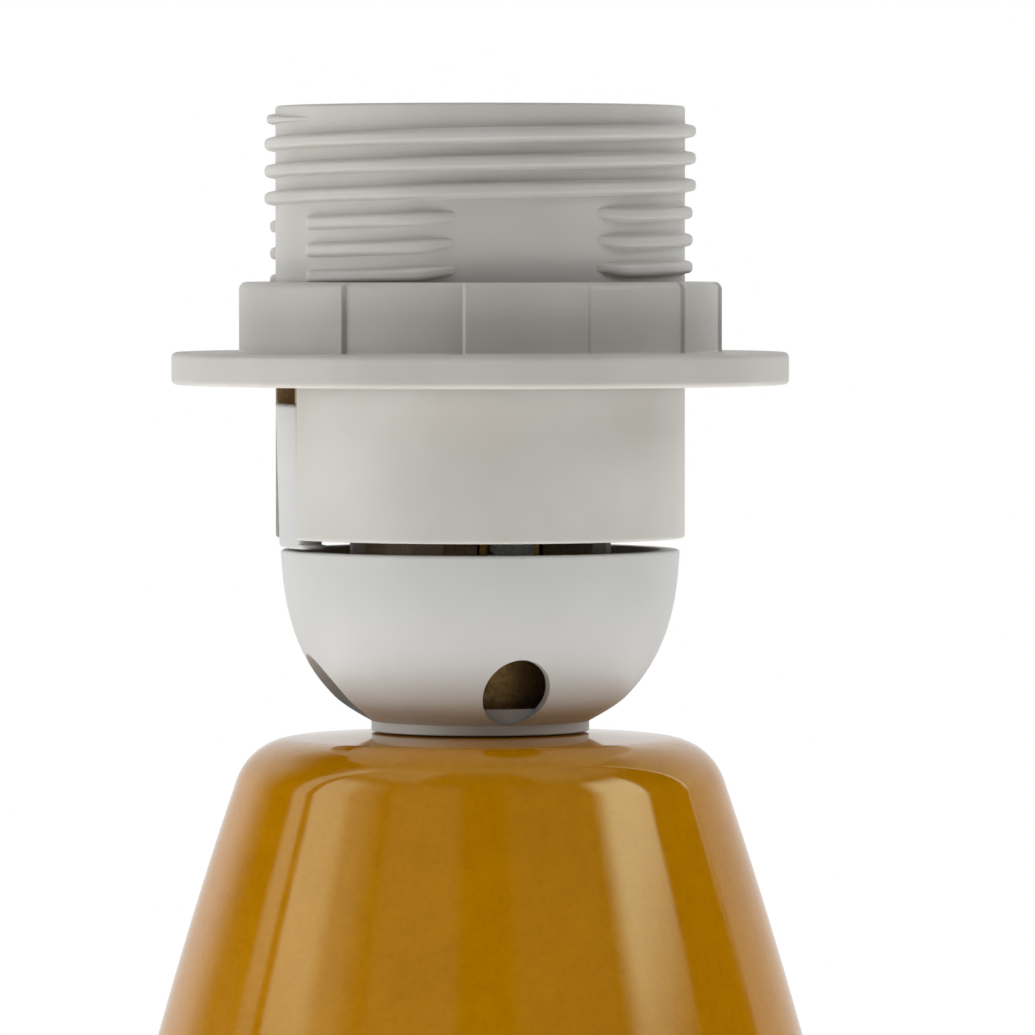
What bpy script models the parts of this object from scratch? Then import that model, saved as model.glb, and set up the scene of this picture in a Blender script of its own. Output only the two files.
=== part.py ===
"""Ceramic table lamp: a hollow glazed body that carries an E27 lampholder with a shade ring.

Metres, +Z up. The origin is under the middle of the body, on the surface that the lamp stands on.
The lamp's front faces -Y, the latch that holds the lampholder to its cap faces -X, and the
cable inlet faces +Y.
"""

import math

import bmesh
import bpy
from mathutils import Matrix, Vector

OBJECT_NAME = "ceramic_table_lamp"

# Clearances
FIT_GAP = 0.0003            # between two pieces that seat on or in each other
CUT_OVERRUN = 0.003         # how far a cutter reaches past what it cuts
MERGE_DISTANCE = 0.000005

# Facets
BODY_STEPS = 44             # round the body
HOLDER_STEPS = 36           # round the lampholder's large pieces, a multiple of 4
INNER_STEPS = 24
SMALL_STEPS = 16
FASTENER_STEPS = 12
FILLET_STEP = math.radians(24)

# Ceramic body
BODY_HEIGHT = 0.1477
SHOULDER_RADIUS = 0.02145   # where the straight top and the side would meet
SHOULDER_DROP = 0.0008      # from the flat round the hole down to that corner
SHOULDER_ROUND = 0.0059
BASE_RADIUS = 0.0465
BASE_ROUND = 0.0090
SIDE_BOW = 0.0062           # how far the side bows out of a straight line
BODY_WALL = 0.0050
ROOF_THICKNESS = 0.0060
FLOOR_THICKNESS = 0.0060
INSIDE_ROUND = 0.0050
FOOT_WIDTH = 0.0055
FOOT_RECESS = 0.0015
BASE_HOLE_RADIUS = 0.0280
OUTSIDE_SIDE_STEPS = 7
INSIDE_SIDE_STEPS = 3

# Felt ring under the foot
FELT_THICKNESS = 0.0020
FELT_MARGIN = 0.0004

# Cable inlet: a flanged bush with a nut, low at the rear
INLET_HEIGHT = 0.0220       # its axis above the body's bottom
INLET_BORE_RADIUS = 0.0037
INLET_SHANK_RADIUS = 0.0050
INLET_FLANGE_RADIUS = 0.0075
INLET_FLANGE_THICKNESS = 0.0015
INLET_SEAT_DEPTH = 0.0021   # recess for the flange in the body's outer side
INLET_NUT_FLATS = 0.0140
INLET_NUT_THICKNESS = 0.0030
INLET_TAIL = 0.0010         # shank past the nut
BUSH_LEAD = 0.0006          # rounding at the bore's mouth

# Threaded tube with its washers and nut, which clamp the lampholder's cap to the body
TUBE_RADIUS = 0.00495
TUBE_BORE_RADIUS = 0.0040
TUBE_RISE = 0.0072          # above the body's top
TUBE_TAIL = 0.0030          # past the nut
FIBRE_WASHER_RADIUS = 0.0095
FIBRE_WASHER_THICKNESS = 0.0010
STEEL_WASHER_RADIUS = 0.0088
STEEL_WASHER_THICKNESS = 0.0010
NUT_FLATS = 0.0140
NUT_THICKNESS = 0.0035

# Cap of the lampholder: a domed cup with a short neck
NECK_RADIUS = 0.01018
NECK_HEIGHT = 0.0008
DOME_HEIGHT = 0.01584       # from the neck to the rim
RIM_RADIUS = 0.0185
DOME_HALF_HEIGHT = 0.01886  # of the squared ellipse that the dome follows
DOME_POWER_SHARE = 2.7      # exponent of that ellipse, 2 would be a plain one
DRAFT_SHARE = 0.06          # narrowing of the dome for each unit of depth
CAP_WALL = 0.0019
CAP_FLOOR = 0.0020
CAP_FLOOR_STEP = 0.0010     # by which the inner dome lies higher than the outer
CAP_LIP = 0.0012            # under the bush
CAP_POCKET_WALL = 0.0009    # between the bush's pocket and the access holes
LEDGE_DEPTH = 0.00387       # below the rim, carries the contact base
LEDGE_RADIUS = 0.0154
DOME_STEPS = 8
ACCESS_HOLE_RADIUS = 0.0031
ACCESS_HOLE_HEIGHT = 0.0043    # axis above the body's top
ACCESS_HOLE_ANGLES = (0, -90)   # degrees from the front

# Threaded bush in the cap, and its locking screw
BUSH_RADIUS = 0.0080
BUSH_HEIGHT = 0.0057
GRUB_RADIUS = 0.0015
GRUB_LENGTH = 0.0034
GRUB_SLOT_WIDTH = 0.0006
GRUB_SLOT_DEPTH = 0.0008
GRUB_ANGLE = math.radians(ACCESS_HOLE_ANGLES[1])    # behind the side hole

# Barrel: the shell with the skirt and the outer thread
RIM_CLEARANCE = 0.0011     # open gap between the cap's rim and the barrel
BARREL_RADIUS = 0.01896
BARREL_LENGTH = 0.03995
BARREL_EDGE = 0.0003
BARREL_BORE_RADIUS = 0.0166
SKIRT_BORE_RADIUS = 0.0173  # below the shoulder that rests on the contact base
BEAD_RADIUS = 0.0167        # the snap bead inside the skirt's end
BEAD_HEIGHT = 0.0020

# Outer thread of the barrel: a ridge, right-handed, one start
THREAD_CREST_RADIUS = 0.0200
THREAD_PITCH = 0.0025
RIDGE_ROOT_WIDTH = 0.0016
RIDGE_CREST_WIDTH = 0.0006
RIDGE_SUNK = 0.0003         # of a ridge's root, into the wall that carries it
THREAD_TOP_DROP = 0.0008   # from the barrel's top down to the thread's upper end
THREAD_TOP_ANGLE = math.radians(-69.5)      # of that end, from the front
FULL_TURNS_SHARE = 3.16     # unbroken turns, counted from the upper end
BROKEN_TURNS_SHARE = 6.2    # turns below them that are left out at the four flats
FLAT_HALF_ANGLES = (math.radians(19.5), math.radians(24.5))  # front and rear, then the sides
FADE_ANGLE = math.radians(9)
FADE_END_SHARE = 0.4        # of the ridge's size left at its ends

# Shade ring on the outer thread: a notched collar on a flange
RING_RISE = 0.01419         # from the barrel's lower end to the flange
FLANGE_WIDTH = 0.0062       # beyond the collar
FLANGE_THICKNESS = 0.0030
FLANGE_ROUND = 0.00050
COLLAR_WALL = 0.0021
COLLAR_HEIGHT = 0.0065
COLLAR_ROUND = 0.0008
NOTCH_COUNT = 12
NOTCH_DEPTH = 0.00065
NOTCH_PHASE = math.radians(12.1)            # of one step, from the front
NOTCH_LAND = math.radians(1.0)              # full radius kept before each step
NOTCH_POINTS = 4

# Latch: a tongue that stands on the cap's rim, in a slot of the skirt
SLOT_WIDTH = 0.0082
SLOT_HEIGHT = 0.0154
LATCH_HEIGHT = 0.0132
LATCH_TOP_RADIUS = 0.01895
LATCH_FOOT_RADIUS = 0.0187
LATCH_THICKNESS = 0.0022
LATCH_EDGE = 0.0003
EAR_HEIGHT = 0.0015
EAR_REACH = 0.0022          # each ear's reach behind the skirt, past the slot
EAR_THICKNESS = 0.0009

# Contact base: an insulating spool that stands on the cap's ledge and carries the barrel
BASE_FLANGE_THICKNESS = 0.0017
BASE_NECK_RADIUS = 0.0121
BASE_DISC_THICKNESS = 0.0037
BASE_DISC_DROP = 0.0090     # from the cap's rim up to the disc's top
LATCH_ROOM = 0.0014         # free travel behind the latch's ears
TERMINAL_WIDTH = 0.0056
TERMINAL_DEPTH = 0.0046
TERMINAL_INSET = 0.0007     # from the neck's surface to the block's outer face
TERMINAL_SUNK = 0.0001      # of the block's foot, into the flange
WIRE_HOLE_RADIUS = 0.0011
WIRE_HOLE_SHARE = 0.55      # of the block's height
TERMINAL_SCREW_RADIUS = 0.0012
TERMINAL_SCREW_SHARE = 0.36     # its height, of the block's height
TERMINAL_HEAD_RADIUS = 0.0020
TERMINAL_HEAD_THICKNESS = 0.0013
TERMINAL_SCREW_BITE = 0.0012
SCREW_SLOT_WIDTH = 0.0006
SCREW_SLOT_DEPTH = 0.0006

# Contacts and their rivets
STRIP_THICKNESS = 0.0005
STRIP_WIDTH = 0.0050
RIVET_RADIUS = 0.0010
RIVET_HEAD_RADIUS = 0.0018
RIVET_HEAD_THICKNESS = 0.0008
CENTRE_RIVET_OFFSET = 0.0080    # from the lamp's axis, towards the front
CENTRE_TAIL = 0.0016            # strip behind the rivet
CENTRE_FOOT = 0.0020            # flat strip in front of the rivet
CENTRE_SPAN = 0.0055            # rising stretch
CENTRE_RISE = 0.00185
CENTRE_PAD = 0.0021             # flat stretch that the lamp presses on
CENTRE_TIP = 0.0010
SIDE_RIVET_OFFSET = 0.0092      # from the lamp's axis, towards the rear
SIDE_TAIL = 0.0019
SIDE_STANDOFF = 0.01215         # of the upright stretch, from the axis
SIDE_UPRIGHT = 0.0050
SIDE_NOSE_HEIGHT = 0.0021
SIDE_NOSE_DEPTH = 0.00065

# Lamp sleeve: the moulded socket with the lamp's thread, inside the barrel
SLEEVE_RADIUS = 0.0152
SLEEVE_FLANGE_RADIUS = 0.0163
SLEEVE_FLANGE_THICKNESS = 0.0014
SLEEVE_TOP_DROP = 0.00024       # below the barrel's top
SLEEVE_BORE_RADIUS = 0.0133
SLEEVE_FOOT_BORE_RADIUS = 0.0136
SLEEVE_FOOT_HEIGHT = 0.0105
SLEEVE_MOUTH_RADIUS = 0.0142
SLEEVE_MOUTH_DEPTH = 0.0016
LAMP_THREAD_PITCH = 0.00363
LAMP_THREAD_CREST_RADIUS = 0.01225
LAMP_RIDGE_ROOT_WIDTH = 0.0024
LAMP_RIDGE_CREST_WIDTH = 0.0010
LAMP_THREAD_TURNS_SHARE = 4.2
LAMP_THREAD_START = 0.0020      # above the sleeve's wider foot

# Heights that follow from the sizes above
BODY_BOTTOM_Z = FELT_THICKNESS + FIT_GAP
SEAT_Z = BODY_BOTTOM_Z + BODY_HEIGHT
CAP_BOTTOM_Z = SEAT_Z + FIT_GAP
NECK_TOP_Z = CAP_BOTTOM_Z + NECK_HEIGHT
RIM_Z = NECK_TOP_Z + DOME_HEIGHT
BARREL_BOTTOM_Z = RIM_Z + RIM_CLEARANCE
BARREL_TOP_Z = BARREL_BOTTOM_Z + BARREL_LENGTH
FLANGE_BOTTOM_Z = BARREL_BOTTOM_Z + RING_RISE
FLANGE_TOP_Z = FLANGE_BOTTOM_Z + FLANGE_THICKNESS
COLLAR_TOP_Z = FLANGE_TOP_Z + COLLAR_HEIGHT
LEDGE_Z = RIM_Z - LEDGE_DEPTH
BASE_BOTTOM_Z = LEDGE_Z + FIT_GAP
BASE_FLANGE_TOP_Z = BASE_BOTTOM_Z + BASE_FLANGE_THICKNESS
DISC_TOP_Z = RIM_Z + BASE_DISC_DROP
DISC_BOTTOM_Z = DISC_TOP_Z - BASE_DISC_THICKNESS
SHOULDER_Z = DISC_TOP_Z + FIT_GAP
ACCESS_Z = SEAT_Z + ACCESS_HOLE_HEIGHT
INLET_Z = BODY_BOTTOM_Z + INLET_HEIGHT

# Radii and places that follow
TUBE_HOLE_RADIUS = TUBE_RADIUS + FIT_GAP
FOOT_OUTER_RADIUS = BASE_RADIUS - BASE_ROUND
FOOT_INNER_RADIUS = FOOT_OUTER_RADIUS - FOOT_WIDTH
CAP_MOUTH_RADIUS = RIM_RADIUS - CAP_WALL
BASE_FLANGE_RADIUS = CAP_MOUTH_RADIUS - FIT_GAP
BASE_DISC_RADIUS = SKIRT_BORE_RADIUS - FIT_GAP
RING_BORE_RADIUS = THREAD_CREST_RADIUS + FIT_GAP
COLLAR_RADIUS = RING_BORE_RADIUS + COLLAR_WALL
FLANGE_RADIUS = COLLAR_RADIUS + FLANGE_WIDTH
TERMINAL_FACE = BASE_NECK_RADIUS - TERMINAL_INSET
TERMINAL_BACK = TERMINAL_FACE - TERMINAL_DEPTH
TERMINAL_MIDDLE = (TERMINAL_FACE + TERMINAL_BACK) / 2
TERMINAL_BOTTOM_Z = BASE_FLANGE_TOP_Z - TERMINAL_SUNK
POCKET_BOTTOM_Z = TERMINAL_BOTTOM_Z - FIT_GAP
POCKET_TOP_Z = DISC_BOTTOM_Z - FIT_GAP
TERMINAL_TOP_Z = POCKET_TOP_Z - FIT_GAP
STRIP_Z = DISC_TOP_Z + FIT_GAP + STRIP_THICKNESS / 2
RIVET_HEAD_Z = STRIP_Z + STRIP_THICKNESS / 2 + FIT_GAP
EAR_BOTTOM_Z = BARREL_BOTTOM_Z + BEAD_HEIGHT + FIT_GAP
EAR_OUTER_RADIUS = SKIRT_BORE_RADIUS - FIT_GAP
EAR_INNER_RADIUS = EAR_OUTER_RADIUS - EAR_THICKNESS


# Scene and objects

def clear_scene():
    for obj in list(bpy.data.objects):
        bpy.data.objects.remove(obj, do_unlink=True)


def new_collection(name):
    collection = bpy.data.collections.new(name)
    bpy.context.scene.collection.children.link(collection)
    return collection


def new_material(name, colour, roughness, metallic=0.0, coat=0.0):
    material = bpy.data.materials.new(name)
    material.use_nodes = True
    shader = material.node_tree.nodes["Principled BSDF"]
    shader.inputs["Base Color"].default_value = (*colour, 1.0)
    shader.inputs["Roughness"].default_value = roughness
    shader.inputs["Metallic"].default_value = metallic
    shader.inputs["Coat Weight"].default_value = coat
    material.diffuse_color = (*colour, 1.0)
    return material


def new_object(name, mesh, helper=False):
    obj = bpy.data.objects.new(name, mesh)
    (CUTTERS if helper else PARTS).objects.link(obj)
    if helper:
        obj.hide_render = True
        obj.display_type = "WIRE"
    return obj


def baked(obj):
    """Replaces a curve, or an object with modifiers, by one with the plain welded mesh."""
    bpy.context.view_layer.update()
    graph = bpy.context.evaluated_depsgraph_get()
    mesh = bpy.data.meshes.new_from_object(obj.evaluated_get(graph))
    shape = bmesh.new()
    shape.from_mesh(mesh)
    bmesh.ops.remove_doubles(shape, verts=shape.verts, dist=MERGE_DISTANCE)
    shape.to_mesh(mesh)
    shape.free()
    name, place, helper = obj.name, obj.matrix_world.copy(), obj.hide_render
    bpy.data.objects.remove(obj, do_unlink=True)
    mesh.name = name
    result = new_object(name, mesh, helper)
    result.matrix_world = place
    return result


def combined(obj, other, operation):
    boolean = obj.modifiers.new(other.name, "BOOLEAN")
    boolean.object = other
    boolean.operation = operation
    boolean.solver = "EXACT"
    return obj


def cut(obj, *cutters):
    for cutter in cutters:
        combined(obj, cutter, "DIFFERENCE")
    return obj


def finished(obj, material, pivot=None):
    """Gives a piece its material and smooth sides, and hangs a moving piece on its pivot."""
    obj.data.materials.clear()
    obj.data.materials.append(material)
    if obj.type == "MESH":
        obj.data.shade_smooth()
        obj.data.set_sharp_from_angle(angle=SHARP_ANGLE)
    if pivot is not None:
        empty = bpy.data.objects.new(obj.name + "_pivot", None)
        PARTS.objects.link(empty)
        empty.location = pivot
        bpy.context.view_layer.update()
        obj.parent = empty
        obj.matrix_parent_inverse = empty.matrix_world.inverted()
    return obj


# Outlines

def fillet(before, corner, after, radius):
    """Points of the arc of this radius that rounds a corner, no longer than half of either side."""
    back = Vector(before) - Vector(corner)
    ahead = Vector(after) - Vector(corner)
    half_angle = back.angle(ahead) / 2
    reach = min(radius / math.tan(half_angle), back.length / 2, ahead.length / 2)
    radius = reach * math.tan(half_angle)
    middle = (back.normalized() + ahead.normalized()).normalized()
    centre = Vector(corner) + middle * (radius / math.sin(half_angle))
    start = Vector(corner) + back.normalized() * reach - centre
    turn = math.pi - 2 * half_angle
    if back.x * ahead.y - back.y * ahead.x > 0:
        turn = -turn
    count = max(1, round(abs(turn) / FILLET_STEP))
    points = []
    for step in range(count + 1):
        angle = turn * step / count
        points.append((
            centre.x + start.x * math.cos(angle) - start.y * math.sin(angle),
            centre.y + start.x * math.sin(angle) + start.y * math.cos(angle),
        ))
    return points


def rounded(corners):
    """Closed outline through (x, y) corners, or (x, y, radius) where a corner is rounded."""
    points = []
    for index, corner in enumerate(corners):
        if len(corner) == 2:
            points.append(tuple(corner))
            continue
        before = corners[index - 1]
        after = corners[(index + 1) % len(corners)]
        points += fillet(before[:2], corner[:2], after[:2], corner[2])
    return points


def turned(name, corners, steps, helper=False):
    """A closed (radius, height) outline, outer side downwards, swept once round the Z axis."""
    points = rounded(corners)
    edges = [(index, (index + 1) % len(points)) for index in range(len(points))]
    edges = [(a, b) for a, b in edges if points[a][0] > 0 or points[b][0] > 0]
    mesh = bpy.data.meshes.new(name)
    mesh.from_pydata([(radius, 0, height) for radius, height in points], edges, [])
    obj = new_object(name, mesh, helper)
    screw = obj.modifiers.new("Turn", "SCREW")
    screw.steps = steps
    screw.render_steps = steps
    screw.use_merge_vertices = True
    screw.merge_threshold = MERGE_DISTANCE
    return baked(obj)


def rod(name, radius, low, high, steps=FASTENER_STEPS, helper=False):
    return turned(name, [(0, high), (radius, high), (radius, low), (0, low)], steps, helper)


def tube(name, radius, bore, low, high, steps):
    return turned(name, [(radius, high), (radius, low), (bore, low), (bore, high)], steps)


def block(name, low, high, helper=False):
    """A box between two opposite corners."""
    shape = bmesh.new()
    bmesh.ops.create_cube(shape, size=1)
    size = Vector(high) - Vector(low)
    bmesh.ops.scale(shape, vec=size, verts=shape.verts)
    bmesh.ops.translate(shape, vec=(Vector(high) + Vector(low)) / 2, verts=shape.verts)
    mesh = bpy.data.meshes.new(name)
    shape.to_mesh(mesh)
    shape.free()
    return new_object(name, mesh, helper)


def hexagon(name, flats, low, high):
    """A six-sided prism of this width across its flats."""
    shape = bmesh.new()
    corner = flats / math.sqrt(3)
    bmesh.ops.create_cone(
        shape, cap_ends=True, segments=6, radius1=corner, radius2=corner, depth=high - low
    )
    bmesh.ops.translate(shape, vec=(0, 0, (high + low) / 2), verts=shape.verts)
    mesh = bpy.data.meshes.new(name)
    shape.to_mesh(mesh)
    shape.free()
    return new_object(name, mesh)


def plate(name, outlines, thickness, helper=False):
    """Flat outlines in the XY plane, each a list of points, drawn out to both sides of it."""
    curve = bpy.data.curves.new(name, "CURVE")
    curve.dimensions = "2D"
    curve.fill_mode = "BOTH"
    curve.extrude = thickness / 2
    for outline in outlines:
        spline = curve.splines.new("POLY")
        spline.points.add(len(outline) - 1)
        for point, (x, y) in zip(spline.points, outline):
            point.co = (x, y, 0, 1)
        spline.use_cyclic_u = True
    return baked(new_object(name, curve, helper))


def placed(obj, matrix):
    """Moves a piece, and puts its place into its mesh."""
    obj.data.transform(matrix)
    return obj


def facing(angle, distance, height):
    """Matrix that lays the Z axis outwards, at an angle from the front, from this distance on."""
    outwards = Matrix.Rotation(angle, 4, "Z") @ Matrix.Rotation(math.radians(90), 4, "X")
    lift = Matrix.Translation((0, 0, height))
    return lift @ outwards @ Matrix.Translation((0, 0, distance))


def polar(angle, radius, height=0.0):
    """Point at an angle from the front, which is -Y, growing towards +X."""
    return (radius * math.sin(angle), -radius * math.cos(angle), height)


# Threads

def ridge(name, angles, height_at, radii, widths):
    """A rib of trapezoid section along a helix, from its root to its crest, thinner at its ends."""
    section = bpy.data.curves.new(name + "_section", "CURVE")
    section.dimensions = "2D"
    rise = radii[1] - radii[0]
    corners = [(0, -widths[0]), (rise, -widths[1]), (rise, widths[1]), (0, widths[0])]
    outline = section.splines.new("POLY")
    outline.points.add(len(corners) - 1)
    for point, (out, up) in zip(outline.points, corners):
        point.co = (out, up / 2, 0, 1)
    outline.use_cyclic_u = True
    section_object = new_object(name + "_section", section, helper=True)
    curve = bpy.data.curves.new(name, "CURVE")
    curve.dimensions = "3D"
    curve.bevel_mode = "OBJECT"
    curve.bevel_object = section_object
    curve.use_fill_caps = True
    curve.twist_mode = "Z_UP"
    spline = curve.splines.new("POLY")
    spline.points.add(len(angles) - 1)
    for point, angle in zip(spline.points, angles):
        from_end = min(angle - angles[0], angles[-1] - angle, FADE_ANGLE)
        point.co = (*polar(angle, radii[0], height_at(angle)), 1)
        point.radius = FADE_END_SHARE + (1 - FADE_END_SHARE) * from_end / FADE_ANGLE
    rib = baked(new_object(name, curve, helper=True))
    bpy.data.objects.remove(section_object, do_unlink=True)
    shape = bmesh.new()
    shape.from_mesh(rib.data)
    bmesh.ops.recalc_face_normals(shape, faces=shape.faces)
    shape.to_mesh(rib.data)
    shape.free()
    return rib


def angles_between(start, end, step):
    """The two ends, and the whole multiples of the step between them."""
    first = math.floor(start / step) + 1
    last = math.ceil(end / step) - 1
    return [start] + [index * step for index in range(first, last + 1)] + [end]


def broken_stretches(start, end):
    """The stretches from start to end that miss the four flats, at 0, 90, 180 and 270 degrees."""
    quarter = math.radians(90)
    stretches = []
    index = math.floor(start / quarter)
    while index * quarter < end:
        low = max(start, index * quarter + FLAT_HALF_ANGLES[index % 2])
        high = min(end, (index + 1) * quarter - FLAT_HALF_ANGLES[(index + 1) % 2])
        if high - low > 2 * FADE_ANGLE:
            stretches.append((low, high))
        index += 1
    return stretches


def outer_thread():
    """Ridges of the barrel's thread: unbroken turns above, and below them only between the flats."""
    step = 2 * math.pi / HOLDER_STEPS
    top_z = BARREL_TOP_Z - THREAD_TOP_DROP
    full_start = THREAD_TOP_ANGLE - 2 * math.pi * FULL_TURNS_SHARE
    broken_start = full_start - 2 * math.pi * BROKEN_TURNS_SHARE

    def height_at(angle):
        return top_z + THREAD_PITCH * (angle - THREAD_TOP_ANGLE) / (2 * math.pi)

    radii = (BARREL_RADIUS - RIDGE_SUNK, THREAD_CREST_RADIUS)
    stretches = broken_stretches(broken_start, full_start)
    stretches.append((full_start, THREAD_TOP_ANGLE))
    return [
        ridge(f"outer_ridge_{index}", angles_between(low, high, step), height_at, radii,
              (RIDGE_ROOT_WIDTH, RIDGE_CREST_WIDTH))
        for index, (low, high) in enumerate(stretches)
    ]


def lamp_thread():
    """The ridge inside the lamp sleeve."""
    step = 2 * math.pi / INNER_STEPS
    start_z = SHOULDER_Z + SLEEVE_FOOT_HEIGHT + LAMP_THREAD_START
    end = 2 * math.pi * LAMP_THREAD_TURNS_SHARE

    def height_at(angle):
        return start_z + LAMP_THREAD_PITCH * angle / (2 * math.pi)

    radii = (SLEEVE_BORE_RADIUS + RIDGE_SUNK, LAMP_THREAD_CREST_RADIUS)
    return ridge("lamp_ridge", angles_between(0, end, step), height_at, radii,
                 (LAMP_RIDGE_ROOT_WIDTH, LAMP_RIDGE_CREST_WIDTH))


# Body

def side_radius(height):
    """Outer radius of the side at a height above the body's bottom: an arc from base to shoulder."""
    base = Vector((BASE_RADIUS, 0))
    shoulder = Vector((SHOULDER_RADIUS, BODY_HEIGHT - SHOULDER_DROP))
    chord = shoulder - base
    arc_radius = chord.length ** 2 / (8 * SIDE_BOW) + SIDE_BOW / 2
    outwards = Vector((chord.y, -chord.x)).normalized()
    centre = (base + shoulder) / 2 + outwards * (SIDE_BOW - arc_radius)
    return centre.x + math.sqrt(arc_radius ** 2 - (height - centre.y) ** 2)


def side_points(low, high, steps, wall):
    """Points of the side, or of its inner face, from a low height to a high one."""
    heights = [low + (high - low) * index / steps for index in range(1, steps)]
    return [(side_radius(height) - wall, BODY_BOTTOM_Z + height) for height in heights]


def inlet_faces():
    """Distances from the axis: the flange's seat, the nut's outer face and the shank's end."""
    seat = side_radius(INLET_HEIGHT) - INLET_SEAT_DEPTH
    corner = INLET_NUT_FLATS / math.sqrt(3)
    wall = side_radius(INLET_HEIGHT + corner) - BODY_WALL
    nut_face = math.sqrt(wall ** 2 - corner ** 2) - FIT_GAP
    return seat, nut_face, nut_face - INLET_NUT_THICKNESS - INLET_TAIL


def make_body():
    shoulder_z = BODY_HEIGHT - SHOULDER_DROP
    roof_z = BODY_HEIGHT - ROOF_THICKNESS
    outside = side_points(0, shoulder_z, OUTSIDE_SIDE_STEPS, 0)
    inside = side_points(FLOOR_THICKNESS, roof_z, INSIDE_SIDE_STEPS, BODY_WALL)
    floor_z = BODY_BOTTOM_Z + FLOOR_THICKNESS
    recess_z = BODY_BOTTOM_Z + FOOT_RECESS
    corners = [
        (TUBE_HOLE_RADIUS, SEAT_Z),
        (NECK_RADIUS, SEAT_Z),
        (SHOULDER_RADIUS, BODY_BOTTOM_Z + shoulder_z, SHOULDER_ROUND),
        *reversed(outside),
        (BASE_RADIUS, BODY_BOTTOM_Z, BASE_ROUND),
        (FOOT_INNER_RADIUS, BODY_BOTTOM_Z),
        (FOOT_INNER_RADIUS, recess_z),
        (BASE_HOLE_RADIUS, recess_z),
        (BASE_HOLE_RADIUS, floor_z),
        (side_radius(FLOOR_THICKNESS) - BODY_WALL, floor_z, INSIDE_ROUND),
        *inside,
        (side_radius(roof_z) - BODY_WALL, BODY_BOTTOM_Z + roof_z, INSIDE_ROUND),
        (TUBE_HOLE_RADIUS, BODY_BOTTOM_Z + roof_z),
    ]
    body = turned("ceramic_body", corners, BODY_STEPS)
    seat, _, tail = inlet_faces()
    hole_radius = INLET_SHANK_RADIUS + FIT_GAP
    recess_radius = INLET_FLANGE_RADIUS + FIT_GAP
    outside_z = BASE_RADIUS + CUT_OVERRUN
    hole = turned("inlet_hole", [
        (0, outside_z), (recess_radius, outside_z), (recess_radius, seat),
        (hole_radius, seat), (hole_radius, tail), (0, tail),
    ], SMALL_STEPS, helper=True)
    placed(hole, facing(math.pi, 0, INLET_Z))
    cut(body, hole)
    return finished(body, GLAZE)


def make_felt():
    felt = tube("foot_felt", FOOT_OUTER_RADIUS - FELT_MARGIN, FOOT_INNER_RADIUS + FELT_MARGIN,
                0, FELT_THICKNESS, BODY_STEPS)
    return finished(felt, FELT)


def make_inlet():
    seat, nut_face, tail = inlet_faces()
    inner_face = seat + FIT_GAP
    outer_face = inner_face + INLET_FLANGE_THICKNESS
    bush = turned("cable_inlet", [
        (INLET_FLANGE_RADIUS, outer_face, BUSH_LEAD),
        (INLET_FLANGE_RADIUS, inner_face),
        (INLET_SHANK_RADIUS, inner_face),
        (INLET_SHANK_RADIUS, tail),
        (INLET_BORE_RADIUS, tail),
        (INLET_BORE_RADIUS, outer_face, BUSH_LEAD),
    ], SMALL_STEPS)
    placed(bush, facing(math.pi, 0, INLET_Z))
    finished(bush, BLACK_PLASTIC)
    nut = hexagon("inlet_nut", INLET_NUT_FLATS, nut_face - INLET_NUT_THICKNESS, nut_face)
    bore = rod("inlet_nut_bore", INLET_SHANK_RADIUS + FIT_GAP,
               nut_face - INLET_NUT_THICKNESS - CUT_OVERRUN, nut_face + CUT_OVERRUN,
               SMALL_STEPS, helper=True)
    for piece in (nut, bore):
        placed(piece, facing(math.pi, 0, INLET_Z))
    cut(nut, bore)
    return finished(nut, BLACK_PLASTIC)


# Clamp through the body's top

def make_clamp():
    roof_z = SEAT_Z - ROOF_THICKNESS
    hole = TUBE_RADIUS + FIT_GAP
    fibre_top = roof_z - FIT_GAP
    fibre_low = fibre_top - FIBRE_WASHER_THICKNESS
    steel_top = fibre_low - FIT_GAP
    steel_low = steel_top - STEEL_WASHER_THICKNESS
    nut_top = steel_low - FIT_GAP
    nut_low = nut_top - NUT_THICKNESS
    finished(tube("fibre_washer", FIBRE_WASHER_RADIUS, hole, fibre_low, fibre_top, SMALL_STEPS),
             FIBRE)
    finished(tube("steel_washer", STEEL_WASHER_RADIUS, hole, steel_low, steel_top, SMALL_STEPS),
             ZINC)
    finished(tube("threaded_tube", TUBE_RADIUS, TUBE_BORE_RADIUS, nut_low - TUBE_TAIL,
                  SEAT_Z + TUBE_RISE, SMALL_STEPS), ZINC)
    nut = hexagon("tube_nut", NUT_FLATS, nut_low, nut_top)
    cut(nut, rod("tube_nut_bore", hole, nut_low - CUT_OVERRUN, nut_top + CUT_OVERRUN,
                 SMALL_STEPS, helper=True))
    return finished(nut, ZINC)


# Cap

def dome_radius(depth):
    """Radius of the dome at a depth below its rim: a squared ellipse with a little draft."""
    ellipse = 1 - (depth / DOME_HALF_HEIGHT) ** DOME_POWER_SHARE
    return (RIM_RADIUS - DRAFT_SHARE * depth) * math.sqrt(ellipse)


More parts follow.
